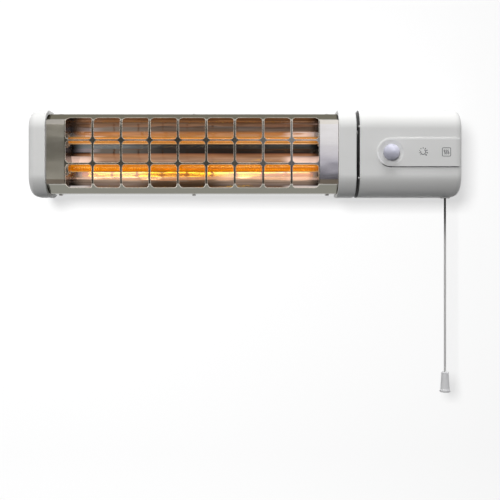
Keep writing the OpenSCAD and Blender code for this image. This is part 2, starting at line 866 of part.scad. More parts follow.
// One shell of the box: its child hollowed and cut at the parting, with the room for the hub
module box_half(front) {
    difference() {
        children();
        translate([x_box0 + wall, 0, 0]) rounded_body(box_w - 2 * wall, wall, end_r - wall);
        if (front) block([x_box0 - 1, y_part - seat, -half_h - 1], [x_box1 + 1, 1, half_h + 1]);
        else block([x_box0 - 1, y_front - 20, -half_h - 1], [x_box1 + 1, y_part, half_h + 1]);
        rod_x(x_box0 - 1, side_x - x_box0 + 1, hub_d / 2 + 0.4);
        along_x(x_box0 - 1, 1 + lug_groove)
            for (a = [0, 180]) arc_slot2d(lug_out, lug_d / 2 + 0.4, a, a + tilt_max);
    }
}

// Outline of the raised bar on the front, round at its left end
module strip2d() {
    r = strip_h / 2;
    translate([knob_x, strip_z]) circle(r);
    translate([knob_x, strip_z - r]) square([x_box1 - knob_x + 1, strip_h]);
}

// Draws its child at the top and mirrored at the bottom
module both_sides() {
    for (m = [0, 1]) mirror([0, 0, m]) children();
}

module box_cover() {
    dish_ball = (pow(dish_r, 2) + pow(dish_deep, 2)) / (2 * dish_deep);
    color("#f1f1ef") difference() {
        union() {
            box_half(true) {
                translate([x_box0, 0, 0]) rounded_body(box_w, 0, end_r);
                intersection() {
                    along_y(y_strip, strip_out + wall) strip2d();
                    translate([x_box0, 0, 0]) rounded_body(box_w, -strip_out, end_r + strip_out);
                }
            }
            rod_y(y_front + 1, reg_y - y_front - 1, dish_r + 3, knob_x, strip_z);
            rod_z(-half_h + 1, wall + 1, cord_bush_r + 3, cord_x, cord_y);
            for (x = tab_x) both_sides() {
                block([x - tab_w / 2, y_part - 8, tab_z], [x + tab_w / 2, y_part - seat, half_h - 1]);
                block([x - tab_w / 2, y_part - 8, tab_z], [x + tab_w / 2, tab_y + 5, tab_z + tab_t]);
            }
        }
        translate([knob_x, y_strip - dish_ball + dish_deep, strip_z]) sphere(dish_ball, $fn = 128);
        rod_y(y_strip - 1, 12, spindle_d / 2 + 0.5, knob_x, strip_z);
        for (z = reg_screw_z) rod_y(reg_y - 3.6, 5, reg_screw_d / 2 + run, knob_x, z);
        rod_z(-half_h - 1, wall + 8, cord_bush_r, cord_x, cord_y);
        for (x = tab_x) both_sides() rod_z(0, half_h, cover_screw_d / 2 + run, x, tab_y);
    }
}

// The base's own side wall, which reaches forward inside the cover and holds the journal
module side_wall() {
    along_x(side_x, side_t) difference() {
        section2d(wall + 0.5);
        translate([y_part, -half_h]) square([body_d, body_h]);
    }
    along_x(x_box0 + wall - 0.5, side_x + side_t - x_box0 - wall + 0.5) difference() {
        section2d(wall - 0.5);
        translate([y_part - body_d, -half_h]) square([body_d, body_h]);
    }
}

module box_base() {
    post_y = cord_y + switch_dy / 2;
    rail_way = rail_h / 2 + seat;
    color("#ececea") difference() {
        union() {
            box_half(false) {
                translate([x_box0, 0, 0]) rounded_body(box_w, 0, end_r);
                difference() {
                    block([skirt_x0, y_back - 3.5, -skirt_half], [skirt_x1, -0.4, skirt_half]);
                    block([skirt_x0 + wall, y_back - 9, -skirt_half + wall],
                          [skirt_x1 - wall, 1, skirt_half - wall]);
                }
            }
            side_wall();
            for (z = box_screw_z)
                rod_y(inner_back + 1, -rail_sheet - inner_back - 1, box_screw_d + 1, box_screw_x, z);
            for (x = switch_screw_x) rod_y(post_y, inner_back + 1 - post_y, 4, x, switch_screw_z);
            for (s = [-1, 1]) rod_y(clamp_y, inner_back + 1 - clamp_y, 3, clamp_x, s * clamp_half);
        }
        rod_x(x_box0 - 1, side_x - x_box0 + 1, hub_d / 2 + 0.4);
        rod_x(side_x - 1, side_t + 2, journal_d / 2 + run);
        block([skirt_x0 - 1, -rail_sheet, -rail_way], [rail_x1 + seat, 1, rail_way]);
        rod_y(y_back - 6, 8, entry_d / 2 + 3.5, entry_x, 0);
        for (z = box_screw_z)
            rod_y(inner_back - 1, 2 - inner_back, box_screw_d / 2 + seat, box_screw_x, z);
        for (x = tab_x) both_sides() {
            rod_z(half_h - 12, 20, cover_screw_d / 2 + seat, x, tab_y);
            rod_z(cover_screw_seat, 20, head_r(cover_screw_d) + 2 * seat, x, tab_y);
        }
        for (x = switch_screw_x) rod_y(post_y - 1, 12, switch_screw_d / 2 + run, x, switch_screw_z);
        for (s = [-1, 1]) rod_y(clamp_y - 1, 6, clamp_screw_d / 2 + run, clamp_x, s * clamp_half);
    }
}

module cover_screws() {
    color("#8f8f8f") for (x = tab_x) both_sides() {
        rod_z(cover_screw_seat, head_h(cover_screw_d), head_r(cover_screw_d), x, tab_y);
        rod_z(tab_z - 1, cover_screw_seat + 1.1 - tab_z, cover_screw_d / 2, x, tab_y);
    }
}

module box_screws() {
    color("#8f8f8f") for (z = box_screw_z)
        screw_y(inner_back, -inner_back - 0.3, box_screw_d, box_screw_x, z);
}

module pivot_journal() {
    color("#c9a552") difference() {
        union() {
            rod_x(journal_x0, journal_x1 - journal_x0, journal_d / 2);
            rod_x(x_head1 + 0.4, 2, journal_d / 2 + journal_collar);
        }
        rod_x(journal_x0 - 1, journal_x1 - journal_x0 + 2, journal_bore / 2);
    }
}

// The disc in the gap, which the journal's collar clamps against the box
module pivot_hub() {
    x0 = x_head1 + 0.15;
    color("#3b3b3d") difference() {
        rod_x(x0, side_x - x0, hub_d / 2);
        rod_x(x0 - 1, side_x - x0 + 2, journal_d / 2 + run);
        rod_x(x0 - 1, x_head1 + 2.4 - x0 + 1, journal_d / 2 + journal_collar + run);
    }
}

// A six-sided nut round the journal
module journal_nut(x0, w, flats) {
    difference() {
        translate([x0, y_axis, 0]) rotate([0, 90, 0])
            cylinder(h = w, r = flats / 2 / cos(30), $fn = 6);
        rod_x(x0 - 1, w + 2, journal_d / 2 + run);
    }
}

module hub_nut() {
    color("#b0a078") journal_nut(side_x + side_t, nut_t, journal_d + 8);
}

module retaining_nut() {
    color("#b0a078") journal_nut(journal_x0 + 0.8, nut_t - 1, journal_d + 6);
}

module wave_washer() {
    color("#8d8f91") difference() {
        rod_x(journal_x0 + nut_t - 0.1, 1.4, journal_d / 2 + 4);
        rod_x(journal_x0, nut_t + 4, journal_d / 2 + 0.3);
    }
}

module terminal_block() {
    y0 = inner_back - block_deep;
    pole = block_w / poles;
    wire_r = 1.8;
    color("#f2f2ee") difference() {
        union() {
            block([block_x0, y0 + 4, -9], [block_x0 + block_w, inner_back, 9]);
            for (i = [0:poles - 1])
                block([block_x0 + i * pole + 0.7, y0, -5], [block_x0 + (i + 1) * pole - 0.7, y0 + 5, 5]);
        }
        for (i = [0:poles - 1]) {
            x = block_x0 + (i + 0.5) * pole;
            rod_y(y0 - 1, 6, 2 + seat, x, 0);
            rod_z(-10, 20, wire_r, x, y0 + 7.5);
        }
    }
}

module terminal_screws() {
    color("#c8a95a") for (i = [0:poles - 1])
        rod_y(inner_back - block_deep + 1.5, 3.3, 2, block_x0 + (i + 0.5) * block_w / poles, 0);
}

module cable_clamp() {
    color("#f2f2ee") difference() {
        block([clamp_x - 4, clamp_y - 3, -clamp_half - 4], [clamp_x + 4, clamp_y, clamp_half + 4]);
        for (s = [-1, 1]) rod_y(clamp_y - 4, 6, clamp_screw_d / 2 + seat, clamp_x, s * clamp_half);
    }
}

module clamp_screws() {
    color("#8f8f8f") for (s = [-1, 1])
        screw_y(clamp_y - 3, 6.5, clamp_screw_d, clamp_x, s * clamp_half);
}

module cable_grommet() {
    lip = 1.5;
    color("#2e2e30") difference() {
        union() {
            rod_y(inner_back - lip, wall + 2 * lip, entry_d / 2 + 3.4, entry_x, 0);
            for (y = [inner_back - lip, y_back]) rod_y(y, lip, entry_d / 2 + 5, entry_x, 0);
        }
        rod_y(inner_back - lip - 1, wall + 2 * lip + 2, entry_d / 2, entry_x, 0);
    }
}

module regulator() {
    color("#4a4d52") difference() {
        union() {
            rod_y(reg_y, reg_l, reg_d / 2, knob_x, strip_z);
            block([knob_x - 5, reg_y, strip_z - dish_r - 2], [knob_x + 5, reg_y + 2, strip_z + dish_r + 2]);
        }
        rod_y(reg_y - 1, reg_l - 2, spindle_d / 2 + run, knob_x, strip_z);
        for (z = reg_screw_z) rod_y(reg_y - 1, 4, reg_screw_d / 2 + seat, knob_x, z);
    }
}

module regulator_screws() {
    color("#8f8f8f") for (z = reg_screw_z) {
        rod_y(reg_y + 2, head_h(reg_screw_d), head_r(reg_screw_d), knob_x, z);
        rod_y(reg_y - 3.4, 5.5, reg_screw_d / 2, knob_x, z);
    }
}

module switch_body() {
    y0 = cord_y - switch_dy / 2;
    guide_z = ledge_z - guide_l;
    color("#e8e6df") difference() {
        block([cord_x - switch_w / 2, y0, guide_z],
              [cord_x + switch_w / 2, y0 + switch_dy, switch_screw_z + 6.5]);
        rod_z(guide_z - 1, 20, plunger_d / 2 + run, cord_x, cord_y);
        rod_z(ledge_z, spring_l + head_t + seat, chamber_d / 2, cord_x, cord_y);
        for (x = switch_screw_x) {
            rod_y(y0 - 1, switch_dy + 2, switch_screw_d / 2 + seat, x, switch_screw_z);
            rod_y(y0 - 1, 4, head_r(switch_screw_d) + 2 * seat, x, switch_screw_z);
        }
    }
}

module switch_screws() {
    y0 = cord_y - switch_dy / 2 + 3;
    color("#8f8f8f") for (x = switch_screw_x)
        screw_y(y0, switch_dy + 5, switch_screw_d, x, switch_screw_z);
}

module cord_bush() {
    color("#e6e5e1") difference() {
        union() {
            rod_z(-half_h, wall + 2, cord_bush_r - 0.1, cord_x, cord_y);
            rod_z(-half_h - 1.4, 1.4, cord_bush_r + 1.8, cord_x, cord_y);
        }
        rod_z(-half_h - 2, wall + 6, cord_d / 2 + 0.7, cord_x, cord_y);
    }
}

// A domed knob on a short straight skirt, hollow below
module control_knob() {
    base_y = y_strip + 0.8;
    high = base_y - (y_front - knob_out);
    r = knob_d / 2;
    straight = 3.4;
    dome = (r * r + pow(high - straight, 2)) / (2 * (high - straight));
    color("#cfd4df") translate([knob_x, base_y, strip_z]) rotate([90, 0, 0]) difference() {
        intersection() {
            cylinder(h = high, r = r);
            translate([0, 0, high - dome]) sphere(dome, $fn = 128);
        }
        translate([0, 0, -1]) difference() {
            cylinder(h = 3.4, r = r - 1.6);
            cylinder(h = 4, r = spindle_d / 2 + 2);
        }
        translate([0, 0, -1]) cylinder(h = high - 2, r = spindle_d / 2 + run);
    }
}

module knob_spindle() {
    y0 = y_front - knob_out + 3.4;
    color("#9a9c9e") rod_y(y0, reg_y + reg_l - 3.2 - y0, spindle_d / 2, knob_x, strip_z);
}

echo(return_spring_least_gap = least_gap(spring_path, curl_rings, spring_wire));

module return_spring() {
    color("#b4b6b8") translate([cord_x, cord_y, ledge_z]) rotate([0, -90, 0])
        coil_wire(spring_path, spring_wire);
}

module switch_plunger() {
    color("#d9d7d0") {
        rod_z(plunger_z0, ledge_z + spring_l + 0.5 - plunger_z0, plunger_d / 2, cord_x, cord_y);
        rod_z(ledge_z + spring_l, head_t, chamber_d / 2 - 0.3, cord_x, cord_y);
    }
}

// The cord hangs straight from the plunger, so its route is one upright line of equal steps
module pull_cord() {
    steps = round((plunger_z0 - pull_top) / (2.8 * cord_d));
    color("#dcdcda") lead(
        [for (i = [0:steps]) [cord_x, cord_y, plunger_z0 - (plunger_z0 - pull_top) * i / steps]],
        cord_d
    );
}

module cord_pull() {
    top_r = 4.7;
    foot_r = 7;
    foot_round = 0.8;
    top_round = 1.2;
    hollow = 6;
    color("#c9cbcf") translate([cord_x, cord_y, pull_top - pull_l]) rotate_extrude() difference() {
        union() {
            polygon([[0, foot_round], [foot_r, foot_round], [foot_r, 2.6], [foot_r - 0.9, 4.2],
                     [top_r, pull_l - top_round], [0, pull_l - top_round]]);
            square([foot_r - foot_round, 3]);
            square([top_r - top_round, pull_l]);
            translate([foot_r - foot_round, foot_round]) circle(foot_round);
            translate([top_r - top_round, pull_l - top_round]) circle(top_round);
        }
        translate([-1, -1]) square([foot_r - 1, 1 + hollow]);
    }
}

// Points of an S-shaped bend between two ends, leaving and arriving along X
function bend_between(a, b, n = 8) = [
    for (i = [0:n]) let (t = i / n, s = (1 - cos(180 * t)) / 2)
        [a.x + (b.x - a.x) * t, a.y + (b.y - a.y) * s, a.z + (b.z - a.z) * s]
];

module head_leads() {
    y_run = y_back - core_drop - steel_t - 4.2;
    x0 = tube_x0 - 7.1;
    x1 = 2 * head_mid - tube_x0 - 9;
    turn_x = x_open0 - trough_over;
    color("#8c8a80") for (s = [-1, 1]) lead(concat(
        bend_between([x0, y_tube + 7, s * tube_z], [turn_x, y_run, s * 8]),
        bend_between([x1, y_run, s * 8], [journal_x0 + 2, y_axis + 3, s * 4]),
        [[lead_meet - 0.3, y_axis + 3, s * 4]]
    ), lead_d);
}

module box_leads() {
    y_block = inner_back - block_deep - 3;
    color("#8c8a80") {
        lead(concat(
            [[lead_meet + 0.3, y_axis + 3, 4]],
            bend_between([journal_x1 + 1, y_axis + 3, 4], [block_x0 - 2, y_block, lead_rise]),
            bend_between(
                [block_x0 + 2, y_block, lead_rise], [block_x0 + block_w - 4, y_block + 4, lead_rise - 2]
            )
        ), lead_d);
        lead(concat(
            [[lead_meet + 0.3, y_axis + 3, -4]],
            bend_between([journal_x1 + 1, y_axis + 3, -4], [block_x0, y_axis + 10, -20]),
            [[cord_x - switch_w / 2 - 1, cord_y + 6, ledge_z + lead_rise]]
        ), lead_d);
    }
}

end_cap_left();
end_cap_right();
front_grille();
rear_casing();
end_plate_left();
end_plate_right();
reflector();
reflector_end_left();
reflector_end_right();
quartz_tube(tube_z);  // quartz_tube_upper
quartz_tube(-tube_z);  // quartz_tube_lower
heating_coil(tube_z);  // heating_coil_upper
heating_coil(-tube_z);  // heating_coil_lower
ceramic_holders_left();
ceramic_holders_right();
tube_terminals();
thermal_cutout();
pivot_bush_left();
pivot_bush_right();
grille_screws();
cap_screws();
head_leads();
mounting_rail();
pivot_arm();
arm_screws();
pivot_pin();
retaining_clip();
box_base();
box_cover();
cover_screws();
box_screws();
pivot_journal();
pivot_hub();
hub_nut();
wave_washer();
retaining_nut();
box_leads();
terminal_block();
terminal_screws();
cable_clamp();
clamp_screws();
cable_grommet();
regulator();
regulator_screws();
switch_body();
switch_screws();
cord_bush();
control_knob();
knob_spindle();
return_spring();
switch_plunger();
pull_cord();
cord_pull();
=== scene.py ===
# Quartz infrared wall heater: the finish of every piece, the pull cord, the return spring, the
# glowing coils, the screw heads, the stops in the gap and the printed marks, set round the packed
# model. Lengths are metres unless a name or comment says mm or um.
import json
import math

import bmesh
import bpy
from mathutils import Matrix, Vector
from mathutils.geometry import tessellate_polygon


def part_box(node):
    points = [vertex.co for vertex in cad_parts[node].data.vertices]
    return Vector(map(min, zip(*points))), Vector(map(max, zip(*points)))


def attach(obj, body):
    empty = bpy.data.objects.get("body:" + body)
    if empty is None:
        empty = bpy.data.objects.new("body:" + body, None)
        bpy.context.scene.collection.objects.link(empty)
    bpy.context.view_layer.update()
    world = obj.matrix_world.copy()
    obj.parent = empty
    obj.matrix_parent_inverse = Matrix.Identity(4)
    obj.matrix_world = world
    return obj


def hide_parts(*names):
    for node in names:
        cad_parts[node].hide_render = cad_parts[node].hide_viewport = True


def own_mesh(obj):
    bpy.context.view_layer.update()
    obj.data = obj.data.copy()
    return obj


MM = 0.001
UM = 0.000001
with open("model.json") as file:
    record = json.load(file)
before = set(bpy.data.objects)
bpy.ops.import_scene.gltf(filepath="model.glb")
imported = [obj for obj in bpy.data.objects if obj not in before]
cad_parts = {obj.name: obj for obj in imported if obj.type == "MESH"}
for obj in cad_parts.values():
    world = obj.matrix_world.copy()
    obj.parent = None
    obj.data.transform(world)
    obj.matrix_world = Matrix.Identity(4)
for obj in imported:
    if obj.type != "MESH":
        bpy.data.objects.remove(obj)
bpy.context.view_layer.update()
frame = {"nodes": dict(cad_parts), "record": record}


# Camera, at the photograph's place: 1.1 m in front of the wall and below the heater's middle
IMAGE_HALF_ANGLE = math.radians(18)
CAMERA_AT = Vector((0.0065, -1.104, -0.1283))


def add_camera():
    data = bpy.data.cameras.new("camera")
    data.sensor_width = 36
    data.lens = data.sensor_width / 2 / math.tan(IMAGE_HALF_ANGLE)
    camera = bpy.data.objects.new("camera", data)
    camera.location = CAMERA_AT
    camera.rotation_euler = (math.radians(90), 0, 0)
    bpy.context.scene.collection.objects.link(camera)
    bpy.context.scene.camera = camera


add_camera()


# Mesh helpers
def mesh_object(name, verts, faces, smooth=True):
    mesh = bpy.data.meshes.new(name)
    mesh.from_pydata([tuple(v) for v in verts], [], faces)
    mesh.validate()
    mesh.polygons.foreach_set("use_smooth", [smooth] * len(mesh.polygons))
    piece = bpy.data.objects.new(name, mesh)
    bpy.context.scene.collection.objects.link(piece)
    return piece


def joined(parts):
    """One list of verts and one of faces, from several such pairs."""
    verts, faces = [], []
    for part_verts, part_faces in parts:
        start = len(verts)
        verts += part_verts
        faces += [tuple(start + k for k in face) for face in part_faces]
    return verts, faces


def ring_angles(sides):
    return [2 * math.pi * k / sides for k in range(sides)]


def belt(low, high, count):
    """The faces between two rings of points, from the index of each ring's first point."""
    return [
        (low + k, low + (k + 1) % count, high + (k + 1) % count, high + k) for k in range(count)
    ]


def ring_faces(rings, sides):
    """The skin over a row of rings, closed at both ends."""
    faces = [face for i in range(rings - 1) for face in belt(i * sides, (i + 1) * sides, sides)]
    faces.append(tuple(reversed(range(sides))))
    faces.append(tuple(range((rings - 1) * sides, rings * sides)))
    return faces


def swept_tube(name, points, radius, sides):
    """A tube along a path; its rings turn as little as they can from one to the next."""
    points = [Vector(p) for p in points]
    verts = []
    side = None
    for i, p in enumerate(points):
        along = (points[min(i + 1, len(points) - 1)] - points[max(i - 1, 0)]).normalized()
        if side is None:
            side = along.orthogonal().normalized()
        side = (side - along * side.dot(along)).normalized()
        up = along.cross(side)
        for a in ring_angles(sides):
            verts.append(p + radius * (side * math.cos(a) + up * math.sin(a)))
    return mesh_object(name, verts, ring_faces(len(points), sides))


# Material helpers
class Recipe:
    """The nodes of one material; most methods add a node or a few and give the output."""

    def __init__(self, name):
        self.material = bpy.data.materials.new(name)
        self.material.use_nodes = True
        self.tree = self.material.node_tree
        self.tree.nodes.clear()
        self.output = self.node("ShaderNodeOutputMaterial")
        self.place = self.node("ShaderNodeTexCoord").outputs["Object"]

    def node(self, kind, **settings):
        made = self.tree.nodes.new(kind)
        for key, value in settings.items():
            setattr(made, key, value)
        return made

    def link(self, source, target):
        self.tree.links.new(source, target)

    def feed(self, value, socket):
        """A number or colour is set on the socket itself; another node's output is linked."""
        if isinstance(value, tuple) and socket.type == "RGBA":
            socket.default_value = (*value, 1)
        elif isinstance(value, (int, float, tuple)):
            socket.default_value = value
        else:
            self.link(value, socket)

    def scaled(self, scale):
        """The place, stretched by a scale for each axis, in cells per metre."""
        mapping = self.node("ShaderNodeMapping")
        mapping.inputs["Scale"].default_value = scale
        self.link(self.place, mapping.inputs["Vector"])
        return mapping.outputs["Vector"]

    def noise(self, scale, detail=3.0, roughness=0.55):
        """Noise from 0 to 1; scale is cells per metre, one number or one for each axis."""
        made = self.node("ShaderNodeTexNoise")
        made.inputs["Detail"].default_value = detail
        made.inputs["Roughness"].default_value = roughness
        if isinstance(scale, tuple):
            made.inputs["Scale"].default_value = 1.0
            self.link(self.scaled(scale), made.inputs["Vector"])
        else:
            made.inputs["Scale"].default_value = scale
            self.link(self.place, made.inputs["Vector"])
        return made.outputs["Fac"]

    def ranged(self, value, low, high, to_low, to_high, smooth=False):
        """A value carried from one range to another and held at that range's ends."""
        made = self.node("ShaderNodeMapRange")
        if smooth:
            made.interpolation_type = "SMOOTHSTEP"
        self.link(value, made.inputs["Value"])
        made.inputs["From Min"].default_value = low
        made.inputs["From Max"].default_value = high
        made.inputs["To Min"].default_value = to_low
        made.inputs["To Max"].default_value = to_high
        return made.outputs["Result"]

    def fade(self, value, start, end):
        """0 before the start, 1 after the end, smooth between them."""
        return self.ranged(value, start, end, 0, 1, smooth=True)

    def band(self, value, low, high, soft):
        """1 between two values, 0 outside them, soft over a length at each."""
        fall = self.ranged(value, high, high + soft, 1, 0, smooth=True)
        return self.times(self.fade(value, low - soft, low), fall)

    def math(self, operation, a, b=0.0):
        made = self.node("ShaderNodeMath", operation=operation)
        for socket, value in zip(made.inputs, (a, b)):
            self.feed(value, socket)
        return made.outputs["Value"]

    def times(self, a, b):
        return self.math("MULTIPLY", a, b)

    def mix(self, factor, first, second):
        """A number between two."""
        made = self.node("ShaderNodeMix", data_type="FLOAT")
        for name, value in (("Factor", factor), ("A", first), ("B", second)):
            self.feed(value, made.inputs[name])
        return made.outputs["Result"]

    def blend(self, factor, first, second):
        """A colour between two, each a tuple or another node's output."""
        made = self.node("ShaderNodeMix", data_type="RGBA")
        self.feed(factor, made.inputs["Factor"])
        for socket, value in zip([s for s in made.inputs if s.type == "RGBA"], (first, second)):
            self.feed(value, socket)
        return next(s for s in made.outputs if s.type == "RGBA")

    def axis(self, letter):
        made = self.node("ShaderNodeSeparateXYZ")
        self.link(self.place, made.inputs["Vector"])
        return made.outputs[letter]

    def facing(self, letter):
        """The way a face looks at rest, along one axis from -1 to 1."""
        split = self.node("ShaderNodeSeparateXYZ")
        self.link(self.node("ShaderNodeTexCoord").outputs["Normal"], split.inputs["Vector"])
        return split.outputs[letter]

    def bump(self, height, depth_um, under=None):
        """Normals of a relief laid over other normals; its height goes from 0 to 1."""
        made = self.node("ShaderNodeBump")
        made.inputs["Strength"].default_value = 1.0
        made.inputs["Distance"].default_value = depth_um * UM
        self.link(height, made.inputs["Height"])
        if under is not None:
            self.link(under, made.inputs["Normal"])
        return made.outputs["Normal"]

    def soft_edges(self, radius):
        """Normals that round every sharp edge a little, as on real pieces."""
        made = self.node("ShaderNodeBevel", samples=4)
        made.inputs["Radius"].default_value = radius
        return made.outputs["Normal"]

    def edges(self, radius):
        """1 along every sharp edge, 0 on the faces beside it."""
        face = self.node("ShaderNodeNewGeometry").outputs["Normal"]
        turned = self.node("ShaderNodeVectorMath", operation="DOT_PRODUCT")
        self.link(self.soft_edges(radius), turned.inputs[0])
        self.link(face, turned.inputs[1])
        return self.ranged(turned.outputs["Value"], 0.99, 0.82, 0, 1)

    def ramp(self, value, stops):
        """A colour that changes with a value; each stop is a place from 0 to 1 and a colour."""
        made = self.node("ShaderNodeValToRGB")
        elements = made.color_ramp.elements
        for place, colour in stops[1:-1]:
            elements.new(place).color = (*colour, 1)
        elements[0].position, elements[-1].position = stops[0][0], stops[-1][0]
        elements[0].color = (*stops[0][1], 1)
        elements[-1].color = (*stops[-1][1], 1)
        self.link(value, made.inputs["Fac"])
        return made.outputs["Color"]

    def principled(self, **settings):
        """The finished surface; each setting is a number, a colour or another node's output."""
        shader = self.node("ShaderNodeBsdfPrincipled")
        for key, value in settings.items():
            self.feed(value, shader.inputs[key.replace("_", " ")])
        self.link(shader.outputs["BSDF"], self.output.inputs["Surface"])
        return self.material


def uneven(name, tone_noise, tones, gloss_noise, gloss, skin_noise, skin_um, **more):
    """A plain material: a tone between two, an uneven gloss and a fine skin, each from a noise."""
    r = Recipe(name)
    return r.principled(
        Base_Color=r.blend(r.noise(*tone_noise), *tones),
        Roughness=r.ranged(r.noise(*gloss_noise), 0.3, 0.7, *gloss),
        Normal=r.bump(r.noise(*skin_noise), skin_um),
        **more,
    )


# Plastics
WHITE, WHITE_SHADE = (0.80, 0.80, 0.79), (0.765, 0.765, 0.755)
GAP_X = (0.1460, 0.1525)
KNOB_X, KNOB_Z = 0.19015, -0.0014
BAR_R = 0.0184
BAR_FACE_Y, BAR_FOOT_Y = -0.1036, -0.1030


def moulding(name, colour, shade, roughness=0.42, coat=0.0, painted_light=None):
    """Moulded plastic: faint flow shading, a fine eroded skin, uneven gloss and painted highlights
    on sharp edges.
    """
    r = Recipe(name)
    tone = r.blend(r.ranged(r.noise((9, 30, 22), 2), 0.3, 0.7, 0, 1), shade, colour)
    # Painted highlight: a thin lighter line along every sharp edge.
    edge_highlight = tuple(min(0.97, c * 1.2) for c in colour)
    tone = r.blend(r.times(r.edges(0.0009), 0.8), tone, edge_highlight)
    # Painted light, shade or highlights that a few mouldings are given.
    if painted_light is not None:
        tone = painted_light(r, tone)
    return r.principled(
        Base_Color=tone,
        Roughness=r.ranged(r.noise(60, 4), 0.3, 0.7, roughness - 0.05, roughness + 0.06),
        Coat_Weight=coat,
        Specular_IOR_Level=0.35,
        Normal=r.bump(r.noise(1400, 2), 12, under=r.soft_edges(0.0006)),
    )


def gap_painted_shade(r, tone):
    """Painted shade on the walls of the gap between head and box, which little light reaches."""
    gap = r.band(r.axis("X"), *GAP_X, 0.0008)
    wall = r.ranged(r.math("ABSOLUTE", r.facing("X")), 0.45, 0.85, 0, 0.8)
    return r.blend(r.times(gap, wall), tone, (0.045, 0.045, 0.048))


def bar_painted_light(r, tone):
    """Painted shade in the gap and in the step below the raised bar, and painted highlights on the
    lip of its round end.
    """
    tone = gap_painted_shade(r, tone)
    along = r.math("MINIMUM", r.math("SUBTRACT", r.axis("X"), KNOB_X), 0.0)
    rise = r.math("SUBTRACT", r.axis("Z"), KNOB_Z)
    from_middle = r.math("SQRT", r.math("ADD", r.times(along, along), r.times(rise, rise)))
    out = r.math("SUBTRACT", from_middle, BAR_R)
    front = r.ranged(r.axis("Y"), BAR_FACE_Y, BAR_FOOT_Y, 1, 0)
    # Painted shade: a dark line in the step below the bar.
    step = r.times(r.band(out, 0.0, 0.0008, 0.0003), front)
    below = r.fade(rise, -0.0135, -0.0165)
    above = r.fade(rise, 0.012, 0.017)
    # Painted highlights on the lip of the bar's round end, on its left and on its top.
    lip = r.times(r.band(out, -0.0016, 0.0, 0.0005), front)
    left = r.times(r.ranged(along, -0.009, -0.013, 0, 1), r.band(rise, -0.013, -0.001, 0.003))
    tone = r.blend(r.times(lip, left), tone, (0.96, 0.96, 0.97))
    tone = r.blend(r.times(r.times(lip, above), 0.5), tone, (0.92, 0.92, 0.92))
    return r.blend(r.times(step, below), tone, (0.10, 0.10, 0.105))


# Metals
def brushed(r, along, fine):
    """Height of a brushed face: long scratches along X, short across it."""
    return r.noise((along, fine, fine), 4, 0.65)


def polished_steel_finish():
    """Polished sheet: painted dark reflections on the bevels and on the bars between the openings,
    and painted highlights and glow on the rims.
    """
    flat_half, bevel_half, bevel_end_y = 0.041, 0.0435, -0.0762
    field_x, field_half = (-0.2360, 0.0978), 0.0405
    rims_x, rims_half = (-0.239, 0.101), 0.0475
    r = Recipe("polished_steel")
    x, height = r.axis("X"), r.axis("Z")
    lines = brushed(r, 12, 2600)
    smears = r.noise((14, 40, 40), 3)
    tone = r.blend(r.ranged(smears, 0.3, 0.7, 0, 1), (0.52, 0.505, 0.475), (0.60, 0.59, 0.575))
    # Painted dark reflections on the bevels above and below the front.
    bevels = r.ranged(r.axis("Y"), bevel_end_y, bevel_end_y + 0.001, 1, 0)
    above = r.times(r.ranged(height, flat_half, bevel_half, 0, 1), bevels)
    below = r.times(r.ranged(height, -flat_half, -bevel_half, 0, 1), bevels)
    tone = r.blend(above, tone, (0.40, 0.385, 0.36))
    tone = r.blend(below, tone, (0.22, 0.215, 0.18))
    # Painted dark reflection on the bars between the openings.
    bars = r.times(r.band(x, *field_x, 0.0002), r.band(height, -field_half, field_half, 0.001))
    tone = r.blend(bars, tone, (0.19, 0.185, 0.175))
    # Painted highlight and glow along the rims of the openings.
    around = r.times(r.band(x, *rims_x, 0.001), r.band(height, -rims_half, rims_half, 0.001))
    rims = r.times(r.edges(0.0011), around)
    tone = r.blend(rims, tone, (0.75, 0.71, 0.65))
    patches = r.ranged(r.noise((30, 45, 45), 3), 0.35, 0.65, 0.10, 0.62)
    waves = r.bump(r.noise((10, 24, 24), 2), 250, under=r.soft_edges(0.0005))
    # The specular tint paints the upper bevel's reflection darker; the emission paints the rims'
    # glow.
    return r.principled(
        Base_Color=tone,
        Metallic=1.0,
        Roughness=r.ranged(r.math("ADD", lines, smears), 0.7, 1.3, 0.08, 0.15),
        Specular_Tint=r.blend(above, (1.0, 1.0, 1.0), (0.24, 0.23, 0.18)),
        Emission_Color=(1.0, 0.90, 0.75),
        Emission_Strength=r.times(rims, patches),
        Normal=r.bump(lines, 4, under=waves),
    )


def casing_steel_finish():
    r = Recipe("casing_steel")
    lines = brushed(r, 18, 1800)
    cloud = r.ranged(r.noise(35, 4), 0.35, 0.65, 0, 1)
    return r.principled(
        Base_Color=r.blend(cloud, (0.47, 0.47, 0.46), (0.53, 0.53, 0.52)),
        Metallic=1.0,
        Roughness=r.ranged(lines, 0.3, 0.7, 0.30, 0.44),
        Normal=r.bump(lines, 10),
    )


def plated_steel_finish():
    """Zinc plate: soft crystal patches with a faint yellow and blue cast."""
    r = Recipe("plated_steel")
    cells = r.node("ShaderNodeTexVoronoi")
    cells.inputs["Scale"].default_value = 260
    r.link(r.place, cells.inputs["Vector"])
    patch = r.ranged(cells.outputs["Distance"], 0.0, 0.9, 0, 1)
    tone = r.blend(r.noise(24, 3), (0.46, 0.48, 0.53), (0.60, 0.57, 0.47))
    return r.principled(
        Base_Color=r.blend(r.times(patch, 0.35), tone, (0.66, 0.67, 0.69)),
        Metallic=1.0,
        Roughness=r.ranged(patch, 0, 1, 0.30, 0.46),
        Normal=r.bump(patch, 8),
    )
